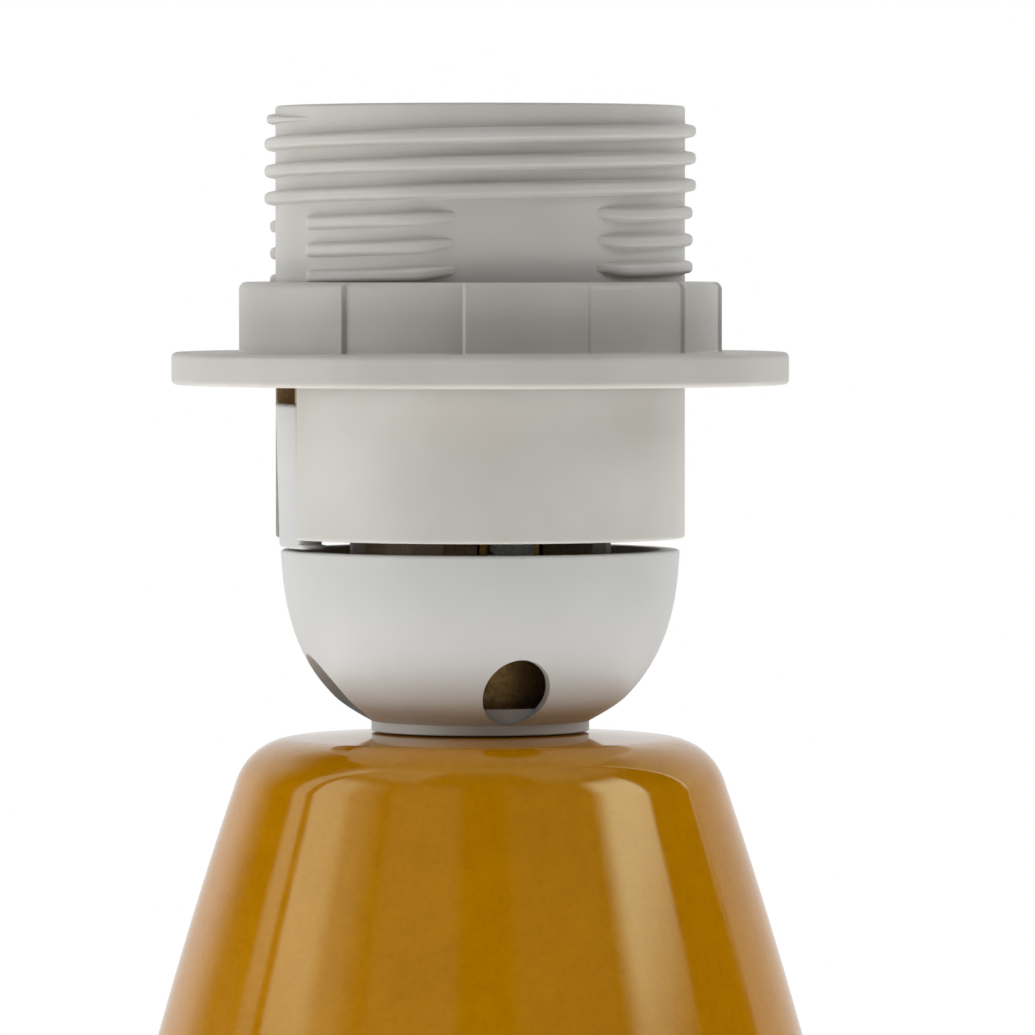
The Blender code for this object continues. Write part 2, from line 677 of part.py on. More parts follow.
def make_cap():
    outside = []
    for index in range(DOME_STEPS + 1):
        depth = DOME_HEIGHT * math.sin(math.pi / 2 * index / DOME_STEPS)
        outside.append((dome_radius(depth), RIM_Z - depth))
    floor_z = CAP_BOTTOM_Z + CAP_FLOOR
    inside = []
    deepest = RIM_Z - floor_z
    for index in range(DOME_STEPS):
        share = 1 - index / DOME_STEPS
        depth = LEDGE_DEPTH + (deepest - LEDGE_DEPTH) * share
        radius = dome_radius(depth + CAP_FLOOR_STEP) - CAP_WALL
        if radius < LEDGE_RADIUS:
            inside.append((radius, RIM_Z - depth))
    pocket_radius = BUSH_RADIUS + FIT_GAP
    lip_z = CAP_BOTTOM_Z + CAP_LIP
    cap = turned("holder_cap", [
        *outside,
        (NECK_RADIUS, NECK_TOP_Z),
        (NECK_RADIUS, CAP_BOTTOM_Z),
        (TUBE_HOLE_RADIUS, CAP_BOTTOM_Z),
        (TUBE_HOLE_RADIUS, lip_z),
        (pocket_radius, lip_z),
        (pocket_radius, floor_z),
        *inside,
        (LEDGE_RADIUS, inside[-1][1] + CAP_FLOOR_STEP),
        (LEDGE_RADIUS, LEDGE_Z),
        (CAP_MOUTH_RADIUS, LEDGE_Z),
        (CAP_MOUTH_RADIUS, RIM_Z),
    ], HOLDER_STEPS)
    for index, angle in enumerate(ACCESS_HOLE_ANGLES):
        hole = rod(f"access_hole_{index}", ACCESS_HOLE_RADIUS, pocket_radius + CAP_POCKET_WALL,
                   RIM_RADIUS + CUT_OVERRUN, SMALL_STEPS, helper=True)
        placed(hole, facing(math.radians(angle), 0, ACCESS_Z))
        cut(cap, hole)
    return finished(cap, WHITE_PLASTIC)


def make_cap_bush():
    low = CAP_BOTTOM_Z + CAP_LIP + FIT_GAP
    bush = tube("cap_bush", BUSH_RADIUS, TUBE_RADIUS + FIT_GAP, low, low + BUSH_HEIGHT, INNER_STEPS)
    hole = rod("grub_hole", GRUB_RADIUS + FIT_GAP, TUBE_RADIUS / 2, BUSH_RADIUS + CUT_OVERRUN,
               helper=True)
    placed(hole, facing(GRUB_ANGLE, 0, ACCESS_Z))
    cut(bush, hole)
    finished(bush, ZINC)
    start = TUBE_RADIUS + FIT_GAP
    screw = rod("grub_screw", GRUB_RADIUS, start, start + GRUB_LENGTH)
    slot_start = start + GRUB_LENGTH - GRUB_SLOT_DEPTH
    slot = block("grub_slot", (-GRUB_RADIUS - CUT_OVERRUN, -GRUB_SLOT_WIDTH / 2, slot_start),
                 (GRUB_RADIUS + CUT_OVERRUN, GRUB_SLOT_WIDTH / 2,
                  start + GRUB_LENGTH + CUT_OVERRUN), helper=True)
    for piece in (screw, slot):
        placed(piece, facing(GRUB_ANGLE, 0, ACCESS_Z))
    cut(screw, slot)
    return finished(screw, ZINC)


# Barrel, latch and shade ring

def make_barrel():
    bead_z = BARREL_BOTTOM_Z + BEAD_HEIGHT
    barrel = turned("holder_barrel", [
        (BARREL_RADIUS, BARREL_TOP_Z, BARREL_EDGE),
        (BARREL_RADIUS, BARREL_BOTTOM_Z, BARREL_EDGE),
        (BEAD_RADIUS, BARREL_BOTTOM_Z),
        (BEAD_RADIUS, bead_z),
        (SKIRT_BORE_RADIUS, bead_z),
        (SKIRT_BORE_RADIUS, SHOULDER_Z),
        (BARREL_BORE_RADIUS, SHOULDER_Z),
        (BARREL_BORE_RADIUS, BARREL_TOP_Z),
    ], HOLDER_STEPS)
    for rib in outer_thread():
        combined(barrel, rib, "UNION")
    slot = block("latch_slot",
                 (-THREAD_CREST_RADIUS, -SLOT_WIDTH / 2, BARREL_BOTTOM_Z - CUT_OVERRUN),
                 (-SLEEVE_RADIUS - FIT_GAP, SLOT_WIDTH / 2, BARREL_BOTTOM_Z + SLOT_HEIGHT),
                 helper=True)
    cut(barrel, slot)
    return finished(barrel, WHITE_PLASTIC)


def make_latch():
    low = RIM_Z + FIT_GAP
    high = low + LATCH_HEIGHT
    width = SLOT_WIDTH - 2 * FIT_GAP
    tongue = turned("cap_latch", [
        (LATCH_TOP_RADIUS, high, LATCH_EDGE),
        (LATCH_FOOT_RADIUS, low),
        (LATCH_FOOT_RADIUS - LATCH_THICKNESS, low),
        (LATCH_TOP_RADIUS - LATCH_THICKNESS, high),
    ], HOLDER_STEPS)
    ears = turned("latch_ears", [
        (EAR_OUTER_RADIUS, EAR_BOTTOM_Z + EAR_HEIGHT),
        (EAR_OUTER_RADIUS, EAR_BOTTOM_Z),
        (EAR_INNER_RADIUS, EAR_BOTTOM_Z),
        (EAR_INNER_RADIUS, EAR_BOTTOM_Z + EAR_HEIGHT),
    ], HOLDER_STEPS, helper=True)
    reach = THREAD_CREST_RADIUS + CUT_OVERRUN
    depth = EAR_INNER_RADIUS / 2
    window = block("latch_window", (-reach, -width / 2, low - CUT_OVERRUN),
                   (-depth, width / 2, high + CUT_OVERRUN), helper=True)
    ear_width = SLOT_WIDTH + 2 * EAR_REACH
    ear_window = block("ear_window", (-reach, -ear_width / 2, low - CUT_OVERRUN),
                       (-depth, ear_width / 2, high + CUT_OVERRUN), helper=True)
    combined(tongue, window, "INTERSECT")
    combined(ears, ear_window, "INTERSECT")
    combined(tongue, ears, "UNION")
    pivot = (-(LATCH_FOOT_RADIUS - LATCH_THICKNESS / 2), 0, low)
    return finished(tongue, WHITE_PLASTIC, pivot)


def notch_outline(index):
    """What one notch takes from the collar: from deep at its step to nothing at the next."""
    pitch = 2 * math.pi / NOTCH_COUNT
    start = NOTCH_PHASE + pitch * index
    sweep = pitch - NOTCH_LAND
    points = []
    for step in range(NOTCH_POINTS + 1):
        share = step / NOTCH_POINTS
        radius = COLLAR_RADIUS - NOTCH_DEPTH * (1 - share)
        points.append(polar(start + sweep * share, radius)[:2])
    outside = COLLAR_RADIUS + CUT_OVERRUN
    for share in (1, 1 / 2, 0):
        points.append(polar(start + sweep * share, outside)[:2])
    return points


def make_shade_ring():
    ring = turned("shade_ring", [
        (COLLAR_RADIUS, COLLAR_TOP_Z, COLLAR_ROUND),
        (COLLAR_RADIUS, FLANGE_TOP_Z),
        (FLANGE_RADIUS, FLANGE_TOP_Z, FLANGE_ROUND),
        (FLANGE_RADIUS, FLANGE_BOTTOM_Z, FLANGE_ROUND),
        (RING_BORE_RADIUS, FLANGE_BOTTOM_Z),
        (RING_BORE_RADIUS, COLLAR_TOP_Z),
    ], HOLDER_STEPS)
    thickness = COLLAR_HEIGHT + CUT_OVERRUN
    notches = plate("collar_notches", [notch_outline(index) for index in range(NOTCH_COUNT)],
                    thickness, helper=True)
    placed(notches, Matrix.Translation((0, 0, FLANGE_TOP_Z + thickness / 2)))
    cut(ring, notches)
    return finished(ring, WHITE_PLASTIC, (0, 0, FLANGE_BOTTOM_Z))


# Inside the lampholder

def make_contact_base():
    base = turned("contact_base", [
        (0, DISC_TOP_Z),
        (BASE_DISC_RADIUS, DISC_TOP_Z),
        (BASE_DISC_RADIUS, DISC_BOTTOM_Z),
        (BASE_NECK_RADIUS, DISC_BOTTOM_Z),
        (BASE_NECK_RADIUS, BASE_FLANGE_TOP_Z),
        (BASE_FLANGE_RADIUS, BASE_FLANGE_TOP_Z),
        (BASE_FLANGE_RADIUS, BASE_BOTTOM_Z),
        (0, BASE_BOTTOM_Z),
    ], INNER_STEPS)
    ear_half = SLOT_WIDTH / 2 + EAR_REACH
    latch_flat = math.sqrt(EAR_INNER_RADIUS ** 2 - ear_half ** 2) - LATCH_ROOM
    room = block("latch_room",
                 (-THREAD_CREST_RADIUS, -THREAD_CREST_RADIUS, DISC_BOTTOM_Z - CUT_OVERRUN),
                 (-latch_flat, THREAD_CREST_RADIUS, DISC_TOP_Z + CUT_OVERRUN), helper=True)
    cut(base, room)
    half_width = TERMINAL_WIDTH / 2 + FIT_GAP
    deep = TERMINAL_BACK - FIT_GAP
    shallow = BASE_NECK_RADIUS + CUT_OVERRUN
    rivet_offsets = {"live": CENTRE_RIVET_OFFSET, "neutral": SIDE_RIVET_OFFSET}
    for name, turn in TERMINAL_SIDES.items():
        pocket = block(f"pocket_{name}", (-half_width, -shallow, POCKET_BOTTOM_Z),
                       (half_width, -deep, POCKET_TOP_Z), helper=True)
        wire_hole = rod(f"wire_hole_{name}", WIRE_HOLE_RADIUS + FIT_GAP,
                        BASE_BOTTOM_Z - CUT_OVERRUN, BASE_FLANGE_TOP_Z, helper=True)
        placed(wire_hole, Matrix.Translation((0, -TERMINAL_MIDDLE, 0)))
        rivet_hole = rod(f"rivet_hole_{name}", RIVET_RADIUS + FIT_GAP,
                         (POCKET_TOP_Z + POCKET_BOTTOM_Z) / 2, DISC_TOP_Z + CUT_OVERRUN,
                         helper=True)
        placed(rivet_hole, Matrix.Translation((0, -rivet_offsets[name], 0)))
        for cutter in (pocket, wire_hole, rivet_hole):
            placed(cutter, Matrix.Rotation(turn, 4, "Z"))
            cut(base, cutter)
    return finished(base, BROWN_PLASTIC)


def make_terminal(name, turn):
    """A brass block with a blind hole for the wire from below, and its clamping screw."""
    height = TERMINAL_TOP_Z - TERMINAL_BOTTOM_Z
    screw_z = TERMINAL_BOTTOM_Z + height * TERMINAL_SCREW_SHARE
    terminal = block(f"terminal_{name}", (-TERMINAL_WIDTH / 2, -TERMINAL_FACE, TERMINAL_BOTTOM_Z),
                     (TERMINAL_WIDTH / 2, -TERMINAL_BACK, TERMINAL_TOP_Z))
    wire_hole = rod(f"terminal_wire_hole_{name}", WIRE_HOLE_RADIUS,
                    TERMINAL_BOTTOM_Z - CUT_OVERRUN,
                    TERMINAL_BOTTOM_Z + height * WIRE_HOLE_SHARE, helper=True)
    placed(wire_hole, Matrix.Translation((0, -TERMINAL_MIDDLE, 0)))
    screw_hole = rod(f"terminal_screw_hole_{name}", TERMINAL_SCREW_RADIUS + FIT_GAP,
                     TERMINAL_MIDDLE, TERMINAL_FACE + CUT_OVERRUN, helper=True)
    head_face = TERMINAL_FACE + FIT_GAP
    head_top = head_face + TERMINAL_HEAD_THICKNESS
    screw = turned(f"terminal_screw_{name}", [
        (0, head_top),
        (TERMINAL_HEAD_RADIUS, head_top),
        (TERMINAL_HEAD_RADIUS, head_face),
        (TERMINAL_SCREW_RADIUS, head_face),
        (TERMINAL_SCREW_RADIUS, head_face - TERMINAL_SCREW_BITE),
        (0, head_face - TERMINAL_SCREW_BITE),
    ], FASTENER_STEPS)
    slot_reach = TERMINAL_HEAD_RADIUS + CUT_OVERRUN
    slot = block(f"terminal_slot_{name}",
                 (-slot_reach, -SCREW_SLOT_WIDTH / 2, head_top - SCREW_SLOT_DEPTH),
                 (slot_reach, SCREW_SLOT_WIDTH / 2, head_top + CUT_OVERRUN), helper=True)
    for piece in (screw_hole, screw, slot):
        placed(piece, facing(0, 0, screw_z))
    for piece in (terminal, wire_hole, screw_hole, screw, slot):
        placed(piece, Matrix.Rotation(turn, 4, "Z"))
    cut(terminal, wire_hole, screw_hole)
    cut(screw, slot)
    finished(terminal, BRASS)
    return finished(screw, ZINC)


def make_rivet(name, place):
    """A rivet through a contact strip and the contact base's disc, place being its Y."""
    rivet = turned(name, [
        (0, RIVET_HEAD_Z + RIVET_HEAD_THICKNESS),
        (RIVET_HEAD_RADIUS, RIVET_HEAD_Z + RIVET_HEAD_THICKNESS, RIVET_HEAD_THICKNESS / 2),
        (RIVET_HEAD_RADIUS, RIVET_HEAD_Z),
        (RIVET_RADIUS, RIVET_HEAD_Z),
        (RIVET_RADIUS, POCKET_TOP_Z),
        (0, POCKET_TOP_Z),
    ], FASTENER_STEPS)
    placed(rivet, Matrix.Translation((0, place, 0)))
    return finished(rivet, BRASS)


def strip_outline(line, thickness):
    """Both sides of a bent strip, from its middle line."""
    sides = ([], [])
    for index, point in enumerate(line):
        here = Vector(point)
        before = Vector(line[max(index - 1, 0)])
        after = Vector(line[min(index + 1, len(line) - 1)])
        into = (here - before).normalized() if index else (after - here).normalized()
        out = (after - here).normalized() if index < len(line) - 1 else into
        mitre = Vector((-into.y - out.y, into.x + out.x)).normalized()
        reach = thickness / 2 / mitre.dot(Vector((-into.y, into.x)))
        sides[0].append(tuple(here + mitre * reach))
        sides[1].append(tuple(here - mitre * reach))
    return sides[0] + sides[1][::-1]


def make_strip(name, line, rivet_place):
    """A sprung contact strip bent in the YZ plane, with a hole for its rivet."""
    strip = plate(name, [strip_outline(line, STRIP_THICKNESS)], STRIP_WIDTH)
    upright = Matrix(((0, 0, 1, 0), (1, 0, 0, 0), (0, 1, 0, 0), (0, 0, 0, 1)))
    placed(strip, upright)
    hole = rod(name + "_hole", RIVET_RADIUS + FIT_GAP, STRIP_Z - CUT_OVERRUN / 2,
               STRIP_Z + CUT_OVERRUN / 2, helper=True)
    placed(hole, Matrix.Translation((0, rivet_place, 0)))
    cut(strip, hole)
    return finished(strip, SPRING_BRONZE, (0, rivet_place, STRIP_Z))


def make_contacts():
    rivet = -CENTRE_RIVET_OFFSET
    rise_start = rivet + CENTRE_FOOT
    pad_start = rise_start + CENTRE_SPAN
    pad_end = pad_start + CENTRE_PAD
    pad_z = STRIP_Z + CENTRE_RISE
    make_strip("centre_contact", [
        (rivet - CENTRE_TAIL, STRIP_Z),
        (rise_start, STRIP_Z),
        (pad_start, pad_z),
        (pad_end, pad_z),
        (pad_end + CENTRE_TIP, pad_z - CENTRE_TIP / 2),
    ], rivet)
    make_rivet("centre_rivet", rivet)
    rivet = SIDE_RIVET_OFFSET
    bend_z = STRIP_Z + SIDE_UPRIGHT
    make_strip("side_contact", [
        (rivet - SIDE_TAIL, STRIP_Z),
        (SIDE_STANDOFF, STRIP_Z),
        (SIDE_STANDOFF, bend_z),
        (SIDE_STANDOFF - SIDE_NOSE_DEPTH, bend_z + SIDE_NOSE_HEIGHT),
        (SIDE_STANDOFF, bend_z + 2 * SIDE_NOSE_HEIGHT),
    ], rivet)
    return make_rivet("side_rivet", rivet)


def make_lamp_sleeve():
    top = BARREL_TOP_Z - SLEEVE_TOP_DROP
    flange_z = top - SLEEVE_FLANGE_THICKNESS
    foot_z = SHOULDER_Z + SLEEVE_FOOT_HEIGHT
    sleeve = turned("lamp_sleeve", [
        (SLEEVE_FLANGE_RADIUS, top),
        (SLEEVE_FLANGE_RADIUS, flange_z),
        (SLEEVE_RADIUS, flange_z),
        (SLEEVE_RADIUS, SHOULDER_Z),
        (SLEEVE_FOOT_BORE_RADIUS, SHOULDER_Z),
        (SLEEVE_FOOT_BORE_RADIUS, foot_z),
        (SLEEVE_BORE_RADIUS, foot_z),
        (SLEEVE_BORE_RADIUS, top - SLEEVE_MOUTH_DEPTH),
        (SLEEVE_MOUTH_RADIUS, top),
    ], INNER_STEPS)
    combined(sleeve, lamp_thread(), "UNION")
    return finished(sleeve, BROWN_PLASTIC)


clear_scene()
PARTS = new_collection(OBJECT_NAME)
CUTTERS = new_collection("cutters")
SHARP_ANGLE = math.radians(40)
TERMINAL_SIDES = {"live": 0.0, "neutral": math.pi}

GLAZE = new_material("mustard_glaze", (0.46, 0.20, 0.008), 0.08, coat=1.0)
WHITE_PLASTIC = new_material("white_thermoplastic", (0.76, 0.75, 0.71), 0.45)
BROWN_PLASTIC = new_material("brown_phenolic", (0.09, 0.06, 0.04), 0.5)
BLACK_PLASTIC = new_material("black_nylon", (0.02, 0.02, 0.02), 0.5)
ZINC = new_material("zinc_plated_steel", (0.62, 0.63, 0.64), 0.35, 1.0)
BRASS = new_material("brass", (0.72, 0.52, 0.22), 0.3, 1.0)
SPRING_BRONZE = new_material("spring_bronze", (0.68, 0.47, 0.26), 0.3, 1.0)
FIBRE = new_material("vulcanised_fibre", (0.30, 0.07, 0.05), 0.8)
FELT = new_material("dark_felt", (0.03, 0.03, 0.03), 0.95)

make_body()
make_felt()
make_inlet()
make_clamp()
make_cap()
make_cap_bush()
make_contact_base()
for side, rotation in TERMINAL_SIDES.items():
    make_terminal(side, rotation)
make_contacts()
make_lamp_sleeve()
make_barrel()
make_latch()
make_shade_ring()
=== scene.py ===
import math

import bmesh
import bpy
import numpy as np
from mathutils import Matrix, Vector


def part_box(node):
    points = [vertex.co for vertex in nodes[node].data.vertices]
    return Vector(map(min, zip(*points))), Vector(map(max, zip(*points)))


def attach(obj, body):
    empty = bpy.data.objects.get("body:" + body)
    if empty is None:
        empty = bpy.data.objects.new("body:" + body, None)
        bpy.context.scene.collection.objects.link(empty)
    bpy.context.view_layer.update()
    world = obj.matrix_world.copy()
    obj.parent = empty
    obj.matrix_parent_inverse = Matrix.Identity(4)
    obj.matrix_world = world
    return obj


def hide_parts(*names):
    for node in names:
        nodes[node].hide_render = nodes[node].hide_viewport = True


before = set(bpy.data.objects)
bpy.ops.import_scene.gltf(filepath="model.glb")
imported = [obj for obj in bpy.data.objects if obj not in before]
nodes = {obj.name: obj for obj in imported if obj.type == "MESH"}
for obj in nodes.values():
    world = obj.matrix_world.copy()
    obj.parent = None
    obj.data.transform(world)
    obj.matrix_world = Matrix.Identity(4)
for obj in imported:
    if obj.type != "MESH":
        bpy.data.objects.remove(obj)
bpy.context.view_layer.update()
mm = 0.001
# innermost radius, in millimetres, of what is solid to its axis
nearAxis = 0.01
print("frame loaded:", len(nodes), "nodes")


def reach(node):
    # lowest and highest point of a node of the frame, in millimetres above the table
    low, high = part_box(node)
    return low.z / mm, high.z / mm


# heights of the seats above the table, and of three edges that lie inside a node's own height
edges = {"neckHeight": 0.8, "ledgeDepth": 3.87, "flangeThick": 3.0}
levels = {}
levels["bodyBottom"], levels["seat"] = reach("ceramic_body")
levels["capBottom"], levels["rim"] = reach("holder_cap")
levels["skirtBottom"], levels["barrelTop"] = reach("holder_barrel")
levels["flangeBottom"], levels["collarTop"] = reach("shade_ring")
levels["neckTop"] = levels["capBottom"] + edges["neckHeight"]
levels["ledge"] = levels["rim"] - edges["ledgeDepth"]
levels["shoulder"] = reach("lamp_sleeve")[0]
levels["flangeTop"] = levels["flangeBottom"] + edges["flangeThick"]


def hexToLinear(text):
    # sRGB hex to linear light: below 0.04045 divided by 12.92, above it the 2.4 power curve
    parts = np.array([int(text[k:k + 2], 16) for k in (1, 3, 5)]) / 255
    linear = np.where(parts <= 0.04045, parts / 12.92, ((parts + 0.055) / 1.055) ** 2.4)
    return (*linear.tolist(), 1.0)


def ease(x, low, high):
    # 0 below low, 1 above high, and 3t^2 - 2t^3 between
    t = np.clip((np.asarray(x, float) - low) / (high - low), 0, 1)
    return t * t * (3 - 2 * t)


def placed(name, data):
    # an object of the scene that holds this mesh, light or camera
    thing = bpy.data.objects.new(name, data)
    bpy.context.scene.collection.objects.link(thing)
    return thing


def newPiece(name, mesh, body, standsFor, material):
    # an object at the origin that rides on a body of the frame and takes the place of a node
    piece = placed(name, mesh)
    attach(piece, body)
    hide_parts(*standsFor)
    mesh.materials.clear()
    mesh.materials.append(material)


def cleaned(mesh):
    # merges the points that coincide and turns every face outwards
    shape = bmesh.new()
    shape.from_mesh(mesh)
    bmesh.ops.remove_doubles(shape, verts=shape.verts, dist=0.0000005)
    bmesh.ops.recalc_face_normals(shape, faces=shape.faces)
    shape.to_mesh(mesh)
    shape.free()
    return mesh


def shaded(mesh, sharpAngle=38):
    # smooth, but sharp along edges where two faces turn by more than this angle
    mesh.shade_smooth()
    mesh.set_sharp_from_angle(angle=math.radians(sharpAngle))
    return mesh


def gridMesh(name, points, wrapRows=True, sharpAngle=38):
    # quads between neighbouring points of a (rows, columns, 3) grid; columns always wrap, rows wrap or are capped
    rows, columns = points.shape[:2]
    i = np.arange(rows if wrapRows else rows - 1)[:, None]
    j = np.arange(columns)[None, :]
    i, j = np.broadcast_arrays(i, j)
    nextI, nextJ = (i + 1) % rows, (j + 1) % columns
    quads = np.stack([i * columns + j, i * columns + nextJ, nextI * columns + nextJ, nextI * columns + j], -1)
    faces = quads.reshape(-1, 4).tolist()
    if not wrapRows:
        faces.append(np.arange(columns)[::-1].tolist())
        faces.append((np.arange(columns) + (rows - 1) * columns).tolist())
    mesh = bpy.data.meshes.new(name)
    mesh.from_pydata((points.reshape(-1, 3) * mm).tolist(), [], faces)
    return shaded(cleaned(mesh), sharpAngle)


def outline(corners, arcSteps=6, support=0.12):
    # closed outline in (radius, height): a corner (r, z, round) becomes an arc tangent to both its sides, with one
    # point just before and one just after it, so that shading stays flat beside it; (r, z) alone is passed through
    points = []
    total = len(corners)
    for k, corner in enumerate(corners):
        here = np.array(corner[:2], float)
        if len(corner) == 2:
            points.append(here[None, :])
            continue
        back = np.array(corners[k - 1][:2], float) - here
        ahead = np.array(corners[(k + 1) % total][:2], float) - here
        backLength, aheadLength = np.linalg.norm(back), np.linalg.norm(ahead)
        back, ahead = back / backLength, ahead / aheadLength
        half = math.acos(np.clip(back @ ahead, -1, 1)) / 2
        tangent = min(corner[2] / math.tan(half), 0.49 * backLength, 0.49 * aheadLength)
        radius = tangent * math.tan(half)
        middle = (back + ahead) / np.linalg.norm(back + ahead)
        centre = here + middle * radius / math.sin(half)
        start = here + back * tangent - centre
        turn = (math.pi - 2 * half) * (-1 if back[0] * ahead[1] - back[1] * ahead[0] > 0 else 1)
        angles = turn * np.linspace(0, 1, arcSteps + 1)
        arc = np.stack([centre[0] + start[0] * np.cos(angles) - start[1] * np.sin(angles),
                        centre[1] + start[0] * np.sin(angles) + start[1] * np.cos(angles)], -1)
        before = here + back * min(tangent + support, 0.499 * backLength)
        after = here + ahead * min(tangent + support, 0.499 * aheadLength)
        points += [before[None, :], arc, after[None, :]]
    return np.concatenate(points)


def circle(steps):
    # equal turns round the axis, in radians, as a column
    return np.linspace(0, 2 * math.pi, steps, endpoint=False)[:, None]


def aroundAxis(radii, heights, angles):
    # (r, z) at an angle from the front becomes (r sin, -r cos, z)
    radii, heights, angles = np.broadcast_arrays(radii, heights, angles)
    return np.stack([radii * np.sin(angles), -radii * np.cos(angles), heights], -1)


def turned(name, corners, steps, arcSteps=6):
    # the outline swept once round the Z axis
    profile = outline(corners, arcSteps)
    return gridMesh(name, aroundAxis(profile[:, 0], profile[:, 1], circle(steps)))


def faceOutwards(mesh, angle, height):
    # lays what was turned round Z on its side: its axis points outwards at this angle and height
    side = Matrix.Rotation(math.radians(angle), 4, "Z") @ Matrix.Rotation(math.radians(90), 4, "X")
    mesh.transform(Matrix.Translation((0, 0, height * mm)) @ side)
    return mesh


def drill(name, radius, ends, steps, angle, height):
    # a round cutter that points outwards at this angle and height, between two distances from the lamp's axis
    inEnd, outEnd = ends
    pin = turned(name, [(nearAxis, outEnd, 0), (radius, outEnd, 0), (radius, inEnd, 0), (nearAxis, inEnd, 0)], steps)
    return faceOutwards(pin, angle, height)


def carve(mesh, cutters, sharpAngle=38):
    # takes the cutter meshes out of a mesh, and returns the result as one plain mesh
    holder = placed(mesh.name + "Uncut", mesh)
    helpers = []
    for k, cutter in enumerate(cutters):
        helper = placed(f"{mesh.name}Cutter{k}", cutter)
        helpers.append(helper)
        modifier = holder.modifiers.new(f"cut{k}", "BOOLEAN")
        modifier.object = helper
        modifier.operation = "DIFFERENCE"
        modifier.solver = "EXACT"
    bpy.context.view_layer.update()
    graph = bpy.context.evaluated_depsgraph_get()
    result = bpy.data.meshes.new_from_object(holder.evaluated_get(graph))
    result.name = mesh.name
    for helper in [holder, *helpers]:
        bpy.data.objects.remove(helper, do_unlink=True)
    return shaded(result, sharpAngle)


def blockMesh(name, low, high):
    # a box cutter between two corners
    corners = np.array([[(low[0], high[0])[a], (low[1], high[1])[b], (low[2], high[2])[c]]
                        for a in (0, 1) for b in (0, 1) for c in (0, 1)], float) * mm
    faces = [(0, 1, 3, 2), (4, 6, 7, 5), (0, 4, 5, 1), (2, 3, 7, 6), (0, 2, 6, 4), (1, 5, 7, 3)]
    mesh = bpy.data.meshes.new(name)
    mesh.from_pydata(corners.tolist(), [], faces)
    return cleaned(mesh)


def joined(name, meshes):
    # several closed meshes kept as the shells of one mesh
    shape = bmesh.new()
    for mesh in meshes:
        shape.from_mesh(mesh)
    result = bpy.data.meshes.new(name)
    shape.to_mesh(result)
    shape.free()
    return shaded(result)


def addNode(tree, kind, values=None, links=None, **settings):
    # one node with its settings, its fixed inputs and its incoming links
    node = tree.nodes.new(kind)
    for name, value in settings.items():
        setattr(node, name, value)
    for socket, value in (values or {}).items():
        node.inputs[socket].default_value = value
    for socket, source in (links or {}).items():
        tree.links.new(source, node.inputs[socket])
    return node


def newMaterial(name, **shaderValues):
    # a material with a Principled shader whose fixed values stand on its own sockets, in whose names _ is a space
    material = bpy.data.materials.new(name)
    material.use_nodes = True
    tree = material.node_tree
    shader = tree.nodes["Principled BSDF"]
    for socket, value in shaderValues.items():
        shader.inputs[socket.replace("_", " ")].default_value = value
    coordinates = addNode(tree, "ShaderNodeTexCoord").outputs["Object"]
    return material, tree, shader, coordinates


def noise(tree, coordinates, sizeMm, detail=3.0, roughness=0.5, stretch=(1, 1, 1)):
    # a noise whose blotches are about this many millimetres across, stretched along chosen axes
    scaled = addNode(tree, "ShaderNodeMapping", {"Scale": tuple(1 / (s * sizeMm * mm) for s in stretch)},
                     {"Vector": coordinates})
    return addNode(tree, "ShaderNodeTexNoise", {"Scale": 1.0, "Detail": detail, "Roughness": roughness},
                   {"Vector": scaled.outputs[0]}).outputs["Fac"]


def wire(tree, shader, **sources):
    # joins each source to the shader's socket of that name
    for socket, source in sources.items():
        tree.links.new(source, shader.inputs[socket.replace("_", " ")])


def tones(tree, factor, stops):
    # a colour for each share of the factor
    node = addNode(tree, "ShaderNodeValToRGB", links={"Fac": factor})
    elements = node.color_ramp.elements
    for element, (place, colour) in zip((elements[0], elements[1]), (stops[0], stops[-1])):
        element.position, element.color = place, hexToLinear(colour)
    for place, colour in stops[1:-1]:
        elements.new(place).color = hexToLinear(colour)
    return node.outputs["Color"]


def spread(tree, factor, low, high):
    # the factor's middle range mapped to low and high
    return addNode(tree, "ShaderNodeMapRange", {"From Min": 0.3, "From Max": 0.7, "To Min": low, "To Max": high},
                   {"Value": factor}).outputs[0]


def bump(tree, height, depthMm, under=None):
    # raises the surface by the height times this depth, on top of another bump
    return addNode(tree, "ShaderNodeBump", {"Distance": depthMm * mm, "Strength": 1.0},
                   {"Height": height, **({"Normal": under} if under else {})}).outputs[0]


def multiplied(tree, first, second, share):
    # the first colour times the second, by this share; sockets 6 and 7 are the node's colours, output 2 its result
    return addNode(tree, "ShaderNodeMix", {0: share}, {6: first, 7: second}, data_type="RGBA",
                   blend_type="MULTIPLY").outputs[2]


